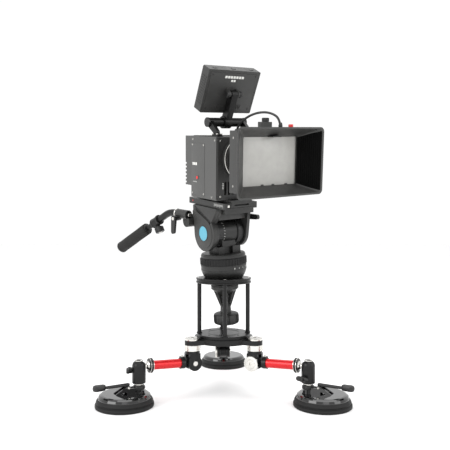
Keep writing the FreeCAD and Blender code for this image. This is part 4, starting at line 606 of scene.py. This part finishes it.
# raised bands turned round the half ball's flange and the pan base's disc
seam = turned_piece("pan_base_band", [(48.4, -2.6), (49.1, -2.4), (49.1, -0.6), (48.4, -0.4)], 128, ring=True)
settle(seam, LEAN, "ball", deep_crackle)
band = turned_piece("pan_disc_band", [(46.8, 17.2), (47.6, 17.4), (47.6, 20.2), (46.8, 20.6)], 128, ring=True)
settle(band, PAN, "pan", deep_crackle)


def printed_figures(name, figures, places, body, height):
    """Flat printed figures, one at each place, gathered in one piece."""
    made = []
    for text, place in zip(figures, places):
        letters = bpy.data.curves.new(name, "FONT")
        letters.body = text
        letters.size = height * MM
        letters.extrude = 0.06 * MM
        letters.align_x, letters.align_y = "CENTER", "CENTER"
        drawn = bpy.data.objects.new(name, letters)
        bpy.context.scene.collection.objects.link(drawn)
        bpy.ops.object.select_all(action="DESELECT")
        drawn.select_set(True)
        bpy.context.view_layer.objects.active = drawn
        bpy.ops.object.convert(target="MESH")
        drawn.data.transform(place)
        made.append(drawn)
    return gather(name, made, body, white_print)


# figures 0 to 4 round the front of the pan base's flange, standing upright on the wall
FIRST_FIGURE, FIGURE_TURN = -62.0, 14.0
spots = [LEAN @ turn(FIRST_FIGURE + FIGURE_TURN * index, "Z") @ shift(48.7, 0, -6.0)
         @ turn(90, "Z") @ TO_FRONT for index in range(5)]
printed_figures("pan_drag_figures", "01234", spots, "ball", 5.0)

# ---- tilt dials and index marks -----------------------------------------------------------------
# Two moulded dials flank the housing: ribbed rims over a plain barrel, each turning on the tilt
# shaft.  Short white dashes on the housing are read against them.
DIALS = {"left": (-28.5, -12.7), "right": (23.7, 38.2)}
TILT_SHAFT = PAN @ shift(0, 0, TILT_AXIS_Z)
for side, (low, high) in DIALS.items():
    outline = [(9.2, low), (26.8, low), (27.7, low + 0.9), (27.7, high - 0.9), (26.8, high), (9.2, high)]
    rim = turned_piece(f"dial_{side}_rim", outline, 144, ring=True)
    raise_ribs(rim, low + 1.4, high - 1.4, 144, 4, 2, 0.75)
    settle(rim, TILT_SHAFT @ TO_X, f"tilt_dial_{side}", satin_abs, smooth=25)
    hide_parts(f"dial_{side}")


def marks(name, blocks, place, body, material, edge=0.0):
    """Small plates between pairs of coordinates in mm, in one piece."""
    piece = block_piece(name, *blocks[0], edge=0)
    for spans in blocks[1:]:
        more(bpy.ops.mesh.primitive_cube_add, size=1.0)
        bpy.ops.transform.resize(value=[(high - low) * MM for low, high in spans])
        bpy.ops.transform.translate(value=[(high + low) / 2 * MM for low, high in spans])
    if edge:
        bpy.ops.mesh.select_all(action="SELECT")
        bpy.ops.mesh.bevel(offset=edge * MM, segments=2, affect="EDGES")
    return settle(piece, place, body, material)


# dashes round the housing's left end, which lie on its barrel
HOUSING_R = 25.0
DASHES, FIRST_DASH, DASH_TURN = 9, 40.0, 14.0
dash = block_piece("dash_model", (-10.6, -8.4), (-0.5, 0.5), (HOUSING_R - 0.2, HOUSING_R + 0.12), edge=0)
spots = [TILT_SHAFT @ turn(FIRST_DASH + DASH_TURN * index, "X") for index in range(DASHES)]
copies("tilt_index_dashes", dash, spots, "pan", white_print)

# ---- tilt arms, cover and badge -----------------------------------------------------------------
# The tilting bridge is a cast aluminium yoke under crackle paint.  A cast cover closes its left arm,
# with a round enamel badge over the tilt shaft, and an ear behind holds the pan handle.
YOKE_HALVES = TILT @ turn(180, "Z") @ TO_X      # plates drawn as (-height, back to front)
DECK_BOTTOM = 126.5
COVER_FACE, COVER_BACK, PLATE_BACK = 46.0, 37.0, 29.1


def yoke_side(name, radius, near, far):
    """One layer of the left side: round at the shaft, straight at the back, waisted in front."""
    discs = [(-TILT_AXIS_Z, 0, radius), (4.0 - DECK_BOTTOM, -40.0, 4.0)]
    back = hulled_piece(f"{name}_back", discs, near, far, 0.8, 96)
    settle(back, YOKE_HALVES, "tilt", crackle)
    waist = radius * math.sqrt(0.5)
    corners = [(-TILT_AXIS_Z, 0, 0.5), (1.0 - DECK_BOTTOM, -38.0, 0.5), (1.0 - DECK_BOTTOM, 43.5, 0.5),
               (6.5 - DECK_BOTTOM, 43.5, 0.5), (0.4 - TILT_AXIS_Z - waist, waist - 0.5, 0.5)]
    front = hulled_piece(f"{name}_front", corners, near, far, 0.4, 12)
    settle(front, YOKE_HALVES, "tilt", crackle)
    return back


cover = yoke_side("arm_cover", 38.0, COVER_BACK, COVER_FACE)
yoke_side("arm_plate", 33.5, PLATE_BACK, COVER_BACK + 0.3)
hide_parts("arm_cover")
ear = hulled_piece("arm_ear", [(-88.0, -58.0, 13.0), (-100.0, -26.0, 16.0)], 31.1, 40.0, 1.0, 72)
settle(ear, YOKE_HALVES, "tilt", crackle)
# web across the yoke, under the deck
web = block_piece("yoke_web", (-PLATE_BACK, 39.0), (-32.0, 40.0), (99.2, 114.6), 1.2)
settle(web, TILT, "tilt", crackle)
rim = hulled_piece("arm_cover_rim", [(-69.0, 0, 31.5), (-110.0, -38.0, 6.0)], 45.6, 47.0, 0.6, 96)
settle(rim, YOKE_HALVES, "tilt", crackle)
# fired enamel: smooth light blue with a soft shine
badge_blue = surface("light_blue_enamel", "56a2b8", 0.3, grain=3.0, height=0.004, mottle=0.04)
badge = turned_piece("tilt_badge", [(15.6, 46.3), (15.6, 47.4), (15.2, 47.8)], 72)
BADGE_FACE = TILT @ turn(180, "Z") @ shift(0, 0, TILT_AXIS_Z) @ TO_X
settle(badge, BADGE_FACE, "tilt", badge_blue)
BEZEL = [(15.5, 46.3), (16.7, 46.3), (16.7, 47.6), (16.2, 48.1), (15.5, 48.1)]
settle(turned_piece("tilt_badge_bezel", BEZEL, 96, ring=True), BADGE_FACE, "tilt", crackle)
# the shaft's plain cap on the right arm
SHAFT_CAP = [(15.0, 45.4), (15.0, 46.9), (14.2, 47.6), (9.0, 47.6), (8.6, 47.1), (3.0, 47.1)]
shaft_cap = turned_piece("tilt_shaft_cap", SHAFT_CAP, 72)
settle(shaft_cap, TILT @ shift(0, 0, TILT_AXIS_Z) @ TO_X, "tilt", crackle)

# ---- sliding-plate deck and its marks -----------------------------------------------------------
# The deck on top of the yoke guides the camera plate.  It carries a printed scale along its left
# edge, a red release mark, a plated latch and a front lip, and four screws hold it from below.
SCALE_START, SCALE_STEP, TICK_HALF = -61.0, 2.5, 0.28
along = [SCALE_START + SCALE_STEP * index for index in range(13)]
ticks = [((-41.1, -40.9), (y - TICK_HALF, y + TICK_HALF), (131.0 if index % 4 else 129.4, 136.0))
         for index, y in enumerate(along)]
marks("deck_scale", ticks, TILT, "tilt", white_print)
# enamel paint: a small glossy red dot
red_print = surface("red_enamel_dot", "c81f1f", 0.4, grain=2.0, height=0.004, mottle=0.05)
dot = turned_piece("release_mark", [(1.7, 40.6), (1.7, 41.2), (1.4, 41.4)], 32)
settle(dot, TILT @ turn(180, "Z") @ shift(0, -52.0, 133.0) @ TO_X, "tilt", red_print)
latch = block_piece("deck_latch", (-34.5, -29.5), (-70.2, -68.6), (131.2, 136.0), 0.4)
settle(latch, TILT, "tilt", nickel)
lip = block_piece("deck_front_lip", (-28.0, 37.0), (-70.0, -68.8), (127.2, 129.3), 0.5)
settle(lip, TILT, "tilt", crackle)
spots = [TILT @ shift(x, y, 114.2) @ turn(180, "X") for x in (-20, 30) for y in (-44, 38)]
copies("yoke_screws", socket_screw("deck_screw", 2.6, 0.9, 2.3), spots, "tilt", zinc)

# ---- plate lock lever ---------------------------------------------------------------------------
# A moulded cam lever on the right of the yoke that clamps the camera plate.  It turns on a capped
# hub, which a plated screw with a hex socket holds.
dress(satin_abs, "lock_lever")
lock = TILT @ shift(0, -20.0, 100.0) @ TO_X
HUB_CAP = [(3.4, 59.6), (5.4, 59.6), (5.4, 61.0), (4.9, 61.5), (3.4, 61.5)]
settle(turned_piece("lock_hub_cap", HUB_CAP, 48, ring=True), lock, "tilt_lock", satin_abs)
screw = cut_hex(turned_piece("lock_screw", [(3.3, 59.0), (3.3, 60.9), (3.0, 61.2)], 40), 3.0, 60.0, 62.0)
settle(screw, lock, "tilt_lock", zinc)

# ---- pan handle ---------------------------------------------------------------------------------
# A bent aluminium tube in a toothed clamp, with a moulded tightening paddle.  Its lower boss holds
# the grip rod with a knurled knob, and the rod carries a foam grip with a moulded end cap.
FERRULE = [(8.1, 35.7), (10.3, 35.7), (10.5, 36.1), (10.5, 37.8), (10.1, 38.3), (8.1, 38.3)]
HANDLE = TILT @ shift(-50.3, 53.4, 101.4) @ turn(102, "Z")
BENT = HANDLE @ shift(62, 0, 0) @ turn(31, "Y")
dress(black_anodised, "handle_tube")
dress(satin_abs, "clamp_paddle")
button = turned_piece("handle_end_button", [(4.8, 1.4), (4.8, 2.9), (4.2, 3.6), (2.0, 3.7)], 48)
settle(button, HANDLE @ turn(180, "Z") @ TO_X, "handle_mount", nickel)
settle(turned_piece("handle_ferrule", FERRULE, 64, ring=True), HANDLE @ TO_X, "handle_mount", nickel)
for number, start in enumerate((41.0, 62.0)):
    outline = [(10.8, start), (11.7, start + 0.4), (11.7, start + 3.2), (10.8, start + 3.6)]
    settle(turned_piece(f"boss_lip_{number}", outline, 64, ring=True), BENT @ TO_X, "handle_mount", satin_abs)
rod_knob = BENT @ shift(54, 0, 0) @ turn(180, "X")
knob = turned_piece("grip_rod_knob", [(8.9, 14.2), (9.7, 15.0), (9.7, 25.2), (8.9, 26.2), (4.2, 26.4)], 40)
raise_ribs(knob, 15.4, 24.8, 40, 4, 2, 0.8)
settle(knob, rod_knob, "handle_mount", satin_abs, smooth=25)
insert = turned_piece("grip_rod_knob_insert", [(4.0, 26.2), (4.0, 26.8), (3.7, 27.0)], 40)
settle(cut_hex(insert, 3.0, 26.5, 28), rod_knob, "handle_mount", nickel)
screw = cut_hex(turned_piece("paddle_screw", [(3.6, 19.6), (3.6, 20.9), (3.2, 21.2)], 40), 3.0, 20.6, 22)
settle(screw, HANDLE @ shift(29, 0, -9) @ turn(-90, "X"), "handle_paddle", nickel)
# EVA foam: matt, open-pored black grip
foam = surface("eva_foam", "232322", 0.85, grain=1.4, height=0.12, mottle=0.14, Specular_IOR_Level=0.3)
FOAM = [(6.2, 92.0), (10.8, 92.0), (12.6, 92.8), (13.4, 94.6), (13.5, 98.0), (13.3, 130.0), (13.6, 170.0),
        (13.5, 203.0), (12.8, 205.0), (6.2, 205.0)]
END_CAP = [(13.1, 204.8), (13.9, 205.4), (13.9, 208.2), (12.6, 210.0), (6.0, 210.4)]
FRONT_CAP = [(6.1, 90.2), (9.6, 90.2), (10.6, 90.8), (10.6, 92.2), (6.1, 92.2)]
grip = turned_piece("foam_grip", FOAM, 96, ring=True)
settle(grip, BENT @ TO_X, "handle_grip_body", foam)
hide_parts("handle_grip")
settle(turned_piece("grip_end_cap", END_CAP, 72), BENT @ TO_X, "handle_grip_body", satin_abs)
rod = turned_piece("grip_rod", [(5.4, 32.6), (6.0, 33.2), (6.0, 205.5)], 48)
settle(rod, BENT @ TO_X, "handle_grip_body", black_anodised)
collar = turned_piece("grip_front_cap", FRONT_CAP, 64, ring=True)
settle(collar, BENT @ TO_X, "handle_grip_body", satin_abs)

# ---- camera body --------------------------------------------------------------------------------
# A boxed aluminium body under dark grey paint.  The left side is closed by a screwed panel with a
# side button, the right side has a control panel, and the finned rear module carries the sockets.
# powder paint: an even dark grey skin with a faint orange-peel texture, and the same in black
grey_paint = surface("dark_grey_powder_paint", "4b4b4a", 0.5, grain=0.6, height=0.04, mottle=0.06)
dress(grey_paint, "camera_body")
black_paint = surface("black_powder_paint", "262625", 0.5, grain=0.6, height=0.04, mottle=0.06)
dress(black_paint, "camera_front")
BODY_SIDE, BODY_BACK, BODY_TOP = 53.5, 61.0, 271.2
SIDE_BUTTON = TILT @ shift(0, 12.5, 186.2) @ turn(180, "Z") @ TO_X
panel = block_piece("side_panel", (-54.1, -53.3), (-13.6, 36.6), (149.5, 257.0), 0.45)
settle(panel, TILT, "camera", grey_paint)
LEFT_OUT, RIGHT_OUT, BACK_OUT = turn(-90, "Y"), turn(90, "Y"), turn(-90, "X")
small_screw = socket_screw("small_screw", 1.9, 0.5, 1.6)
spots = [TILT @ shift(-54.1, y, z) @ LEFT_OUT for y in (-10.0, 33.0) for z in (153.0, 253.5)]
spots += [TILT @ shift(-BODY_SIDE, y, z) @ LEFT_OUT
          for y, z in ((-40.0, 149.9), (-50.0, 264.0), (32.0, 264.5))]
spots += [TILT @ shift(BODY_SIDE, y, z) @ RIGHT_OUT for y in (-50.0, 32.0) for z in (150.0, 264.5)]
spots += [TILT @ shift(x, -60.0, z) @ TO_FRONT for x in (-45.8, 45.8) for z in (153.0, 263.0)]
spots += [TILT @ shift(x, BODY_BACK, z) @ BACK_OUT for x in (-49.0, 49.0) for z in (224.0, 266.0)]
copies("body_screws", small_screw, spots, "camera", zinc, keep=True)
# printed marks above and below the side button: three plain bars and a row of ticks
bars = [((-54.2, -54.0), (15.0 + 6.0 * index, 19.8 + 6.0 * index), (211.4, 217.0)) for index in range(3)]
bars += [((-54.2, -54.0), (16.0 + 3 * index, 17.0 + 3 * index), (176.0, 178.0)) for index in range(5)]
marks("side_marks", bars, TILT, "camera", white_print)
# moulded red plastic: glossy and even
red_plastic = surface("red_moulded_plastic", "d81a1a", 0.28, grain=1.5, height=0.004, mottle=0.05)
dress(red_plastic, "record_button")
SIDE_GUARD = [(3.3, 53.9), (4.8, 53.9), (4.8, 54.9), (4.4, 55.3), (3.3, 55.3)]
settle(turned_piece("side_button_guard", SIDE_GUARD, 48, ring=True), SIDE_BUTTON, "camera", grey_paint)
cap = turned_piece("side_button", [(3.1, 53.9), (3.1, 55.4), (2.6, 55.9)], 40)
settle(cap, SIDE_BUTTON, "camera", red_plastic)
# control panel on the right side
panel = block_piece("control_panel", (53.3, 54.6), (-44.0, 24.0), (186.0, 262.0), 0.6)
settle(panel, TILT, "camera", satin_abs)
# display glass: nearly black, smooth as a mirror
display_glass = surface("display_cover_glass", "0a0c10", 0.06, grain=8.0, height=0.002, mottle=0.03,
                        Coat_Weight=0.6, Coat_Roughness=0.03)
window = block_piece("control_display", (54.4, 55.1), (-38.0, 6.0), (222.0, 256.0), 0.3)
settle(window, TILT, "camera", display_glass)
spots = [TILT @ shift(54.6, y, z) @ RIGHT_OUT for z in (196.0, 210.0) for y in (-36.0, -24.0, -12.0, 0.0)]
key = turned_piece("key_model", [(3.0, -0.6), (3.0, 0.9), (2.5, 1.3)], 36)
copies("control_keys", key, spots, "camera", rubber)
wheel = turned_piece("control_wheel", [(7.5, 54.2), (7.8, 54.6), (7.8, 60.4), (7.0, 61.2), (3.0, 61.2)], 60)
raise_ribs(wheel, 55.2, 60.0, 60, 3, 1, 0.4)
settle(wheel, TILT @ shift(0, 14.5, 205.0) @ TO_X, "camera", satin_abs, smooth=25)
# sockets on the finned module's back: four plated coaxial sockets and one round power socket
COAXIAL = [(2.2, 0.2), (5.0, -0.5), (6.2, -0.5), (6.2, 1.2), (4.8, 1.6), (4.8, 8.4), (4.2, 8.8), (3.6, 8.8),
           (3.6, 2.4), (2.2, 2.2)]
POWER = [(5.2, 60.6), (8.2, 60.6), (8.2, 64.0), (7.6, 64.6), (6.8, 64.6), (6.8, 61.6), (5.2, 61.6)]
SOCKETS_Z = 246.0
spots = [TILT @ shift(x, BODY_BACK, SOCKETS_Z) @ BACK_OUT for x in (-36.0, -18.0, 0.0, 18.0)]
copies("rear_sockets", turned_piece("socket_model", COAXIAL, 48, ring=True), spots, "camera", nickel)
power_at = TILT @ shift(37.0, 0, SOCKETS_Z) @ BACK_OUT
settle(turned_piece("power_socket", POWER, 60, ring=True), power_at, "camera", satin_abs)
core = turned_piece("power_socket_core", [(5.4, 60.4), (5.4, 62.6), (4.8, 63.0)], 40)
settle(core, power_at, "camera", satin_abs)
# mounting rails on the body's top, each side of the threaded socket
RAIL_TOP = BODY_TOP + 1.4
for side, span in {"left": (-50.0, -13.0), "right": (13.0, 50.0)}.items():
    rail = block_piece(f"top_rail_{side}", span, (-24.0, 34.0), (BODY_TOP - 0.3, RAIL_TOP), 0.5)
    settle(rail, TILT, "camera", black_anodised)
spots = [TILT @ shift(x, y, RAIL_TOP) for x in (-42.0, -21.0, 21.0, 42.0) for y in (-18.0, 28.0)]
copies("top_rail_screws", small_screw, spots, "camera", zinc, keep=True)
# plated guard round the record button, in the front plate
RECORD_GUARD = [(6.3, 61.2), (8.4, 61.2), (8.8, 61.7), (8.8, 62.3), (8.2, 62.9), (6.3, 62.9)]
guard = turned_piece("record_guard", RECORD_GUARD, 64, ring=True)
settle(guard, TILT @ shift(-6.0, 0, 175.0) @ TO_FRONT, "camera", nickel)
bars = [((-41.0, -38.0), (-60.14, -59.9), (168.0 + 3.2 * index, 169.4 + 3.2 * index)) for index in range(4)]
marks("front_marks", bars, TILT, "camera", white_print)

# ---- lens ---------------------------------------------------------------------------------------
# A cine lens in a plated bayonet: a toothed focus ring, a ribbed iris ring, and a coated front
# element behind the matte box.
LENS_Z = 227.8
LENS_AXIS = TILT @ shift(0, 0, LENS_Z) @ TO_FRONT
dress(black_anodised, "lens_barrel")
BAYONET = [(37.7, 65.6), (41.2, 65.6), (41.6, 66.2), (41.6, 68.4), (41.0, 69.0), (37.7, 69.0)]
FOCUS_GEAR = [(34.2, 76.3), (36.6, 76.3), (37.1, 76.8), (37.1, 93.2), (36.6, 93.7), (34.2, 93.7)]
ELEMENT = [(27.9, 124.0), (27.9, 128.0), (24.0, 130.4), (18.0, 132.2), (10.0, 133.5), (3.0, 133.9)]
settle(turned_piece("bayonet_ring", BAYONET, 128, ring=True), LENS_AXIS, "camera", nickel)
teeth = turned_piece("focus_gear", FOCUS_GEAR, 228, ring=True)
raise_ribs(teeth, 78.4, 91.6, 228, 3, 1, 1.0)
settle(teeth, LENS_AXIS, "focus", black_anodised, smooth=20)
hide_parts("focus_ring")
iris = turned_piece("iris_ring", [(37.3, 97.0), (38.1, 97.4), (38.1, 106.6), (37.3, 107.0)], 120, ring=True)
raise_ribs(iris, 98.4, 105.6, 120, 3, 1, 0.6)
settle(iris, LENS_AXIS, "camera", black_anodised, smooth=20)
# coated optical glass: black depth with a sharp bluish reflection
coated_glass = surface("coated_lens_glass", "10141c", 0.03, grain=10.0, height=0.001, mottle=0.03,
                       Coat_Weight=1.0, Coat_Roughness=0.02, Specular_IOR_Level=0.8)
settle(turned_piece("front_element", ELEMENT, 96), LENS_AXIS, "camera", coated_glass)
spots = [LENS_AXIS @ turn(-60 + 12 * index, "Z") @ shift(0, 37.55, 111.0) @ turn(-90, "X") @ turn(180, "Y")
         for index in range(7)]
printed_figures("iris_figures", ("2", "3", "4", "6", "8", "11", "16"), spots, "camera", 3.2)

# ---- matte box and filter -----------------------------------------------------------------------
# A flared hood moulded in glass-filled plastic on a filter stage that clamps the lens.  The tray
# holds a light grey filter and lifts out by its top edge.
# filled plastic: dull dark grey with a fine moulded grain
hood_abs = surface("matte_box_plastic", "363635", 0.48, grain=0.7, height=0.05, mottle=0.08)
dress(hood_abs, "matte_box", "filter_tray")
# neutral filter glass: its light grey colour is partly the glass's own tint and partly a painted reflection
# of the white room
filter_glass = surface("grey_filter_glass", "a9a8a4", 0.22, grain=12.0, height=0.002, mottle=0.03)
glass = block_piece("filter_glass", (-63.6, 63.6), (-156.7, -155.7), (LENS_Z - 45.6, LENS_Z + 45.6), 0.3)
settle(glass, TILT, "filter", filter_glass)
clips = [((x - 3.0, x + 3.0), (-158.2, -156.4), (LENS_Z - 45.9, LENS_Z - 43.0)) for x in (-17.0, 9.0, 41.0)]
marks("filter_clips", clips, TILT, "filter", hood_abs, edge=0.4)
# near-black lining on the hood's right inner wall only, a tapering panel with upright ribs: its near-black
# colour is painted shade falling on that wall
painted_shade_lining = surface("black_flock", "060606", 0.95, grain=0.8, height=0.1, mottle=0.2, Specular_IOR_Level=0.1)
LINING_FRONT, LINING_BACK = (97.0, -193.4, 58.0), (63.0, -160.6, 44.0)
lining = block_piece("hood_flock", (LINING_FRONT[0], LINING_FRONT[0] + 1.0), (LINING_FRONT[1], LINING_BACK[1]),
                     (-LINING_FRONT[2], LINING_FRONT[2]), 0)
pick(lining, lambda centre, normal: normal.y > 0.9)
bpy.ops.transform.resize(value=(1, 1, LINING_BACK[2] / LINING_FRONT[2]), center_override=(0, 0, 0))
bpy.ops.transform.translate(value=((LINING_BACK[0] - LINING_FRONT[0]) * MM, 0, 0))
settle(lining, TILT @ shift(0, 0, LENS_Z), "camera", painted_shade_lining)
# upright ribs down the lining, coloured with the same near-black painted shade
LINING_RIBS = 12
ribs = []
for index in range(LINING_RIBS):
    x, y, half = (near + (far - near) * (index + 0.5) / LINING_RIBS
                  for near, far in zip(LINING_FRONT, LINING_BACK))
    ribs.append(((x - 0.9, x + 0.4), (y - 0.6, y + 0.6), (LENS_Z - half + 1, LENS_Z + half - 1)))
marks("hood_flock_ribs", ribs, TILT, "camera", painted_shade_lining)
pull = block_piece("filter_pull", (-24.0, 24.0), (-155.6, -150.4), (286.4, 290.2), 0.7)
settle(pull, TILT, "filter", satin_abs)
latch = block_piece("hood_latch", (-9.0, 12.0), (-176.0, -160.4), (273.0, 275.4), 0.7)
settle(latch, TILT, "camera", satin_abs)
knob = turned_piece("stage_knob", [(5.2, 300.7), (6.3, 301.1), (6.3, 307.6), (5.7, 308.4), (2.5, 308.5)], 40)
raise_ribs(knob, 301.6, 307.2, 40, 4, 2, 0.6)
settle(knob, TILT @ shift(0, -142.0, 0), "camera", satin_abs, smooth=25)
STAGE_BUTTON = [(4.2, 290.6), (4.8, 291.0), (4.8, 295.4), (4.2, 296.4), (2.0, 296.6)]
cap = turned_piece("stage_button_cap", STAGE_BUTTON, 48)
settle(cap, TILT @ shift(62.0, -143.0, 0), "camera", red_plastic)
CLAMP_KNOB = [(3.2, 41.0), (6.2, 43.2), (6.6, 43.8), (6.6, 50.0), (6.0, 50.8), (2.6, 50.9)]
clamp_knob = turned_piece("lens_clamp_knob", CLAMP_KNOB, 40)
raise_ribs(clamp_knob, 44.2, 49.6, 40, 4, 2, 0.6)
settle(clamp_knob, TILT @ shift(0, -130.5, LENS_Z) @ turn(35, "Y") @ TO_X, "camera", satin_abs, smooth=25)
spots = [TILT @ shift(78.0, -148.0, LENS_Z + z) @ RIGHT_OUT for z in (-44.0, 44.0)]
spots += [TILT @ shift(-78.0, -148.0, LENS_Z + z) @ LEFT_OUT for z in (-44.0, 44.0)]
spots += [TILT @ shift(x, -137.0, LENS_Z + z) @ BACK_OUT for x in (-68.0, 68.0) for z in (-48.0, 48.0)]
copies("stage_screws", small_screw, spots, "camera", zinc)

# ---- monitor mount and arm ----------------------------------------------------------------------
# A cross tube on two screwed brackets.  The arm clamps round it and carries the monitor's hinge on
# a pin with a thumb nut at each end.
dress(black_anodised, "monitor_mount", "monitor_arm")
CROSS_TUBE = TILT @ shift(0, -15.6, 299.4) @ TO_X
for side, (outer, inner) in {"left": (-50.2, -46.8), "right": (44.2, 40.8)}.items():
    step = math.copysign(0.6, inner - outer)
    cap = turned_piece(f"tube_cap_{side}", [(8.8, outer), (9.6, outer + step), (9.6, inner)], 64)
    settle(cap, CROSS_TUBE, "camera", satin_abs)
ARM_PIN = TILT @ shift(-3.6, -42.87, 354.34)
ARM_NUT = [(3.0, 13.3), (5.8, 13.5), (6.2, 14.0), (6.2, 17.6), (5.6, 18.2)]
for side, heading in (("left", 180), ("right", 0)):
    nut = turned_piece(f"arm_nut_{side}", ARM_NUT, 40)
    raise_ribs(nut, 14.2, 17.4, 40, 4, 2, 0.5)
    settle(nut, ARM_PIN @ turn(heading, "Z") @ TO_X, "monitor_arm_body", satin_abs, smooth=25)
spots = [TILT @ shift(x, y, 276.2) for x in (-47.0, -37.2, 31.2, 41.0) for y in (-49.5, -34.5)]
copies("bracket_screws", socket_screw("bracket_screw", 2.4, 1.4, 2.2), spots, "camera", zinc)

# ---- monitor ------------------------------------------------------------------------------------
# A folding monitor in a moulded plastic case: glass in a framed recess with keys below it, vents
# and printed marks on the back, ribs down one side and clips on the long edges.
MONITOR = TILT @ shift(-3.6, -31.9, 359.2) @ turn(23.9, "X")
# moulded ABS: dark grey satin with a fine spark-eroded texture
case_abs = surface("dark_grey_abs", "2c2c2b", 0.5, grain=0.8, height=0.04, mottle=0.08)
dress(case_abs, "monitor")
glass = block_piece("monitor_glass", (-56.0, 56.0), (22.9, 23.7), (-37.5, 37.5), 0.25)
settle(glass, MONITOR, "monitor_body", display_glass)
frame_bars = [((-58.6, 58.6), (23.6, 24.7), (38.0, 39.6)), ((-58.6, 58.6), (23.6, 24.7), (-39.6, -38.0)),
              ((-58.6, -56.6), (23.6, 24.7), (-39.6, 39.6)), ((56.6, 58.6), (23.6, 24.7), (-39.6, 39.6))]
marks("monitor_bezel", frame_bars, MONITOR, "monitor_body", case_abs, edge=0.3)
spots = [MONITOR @ shift(-34.0 + 8.0 * index, 24.0, -42.2) @ BACK_OUT for index in range(6)]
key = turned_piece("key_model", [(1.5, -0.5), (1.5, 0.6), (1.2, 0.9)], 28)
copies("monitor_keys", key, spots, "monitor_body", rubber)
back_panel = block_piece("monitor_back_panel", (-56.0, 56.0), (-0.9, 0.4), (-39.0, 39.0), 0.6)
settle(back_panel, MONITOR, "monitor_body", case_abs)
ribs = [((-30.0 + 4.0 * index, -28.2 + 4.0 * index), (-1.7, -0.7), (-35.0, -27.0)) for index in range(16)]
marks("monitor_vents", ribs, MONITOR, "monitor_body", case_abs, edge=0.3)
bars = [((-22.0 + 6.6 * index, -16.8 + 6.6 * index), (-1.02, -0.8), (28.6, 33.4)) for index in range(7)]
bars += [((-6.0 + 6.0 * index, -1.4 + 6.0 * index), (-1.02, -0.8), (21.6, 25.8)) for index in range(2)]
marks("monitor_marks", bars, MONITOR, "monitor_body", white_print)
ribs = [((-63.0, -62.0), (4.0, 20.0), (-30.0 + 5.0 * index, -27.6 + 5.0 * index)) for index in range(12)]
marks("monitor_side_ribs", ribs, MONITOR, "monitor_body", case_abs, edge=0.3)
clips = [((x - 4.0, x + 4.0), (7.0, 13.0), (edge - 0.5, edge + 1.0))
         for x in (-44.0, 0.0, 44.0) for edge in (44.6, -45.1)]
marks("monitor_clips", clips, MONITOR, "monitor_body", satin_abs, edge=0.3)
spots = [MONITOR @ shift(x, -0.9, z) @ TO_FRONT for x in (-52.0, 52.0) for z in (-35.0, 35.0)]
copies("monitor_screws", socket_screw("case_screw", 1.9, 0.5, 1.6), spots, "monitor_body", satin_abs)
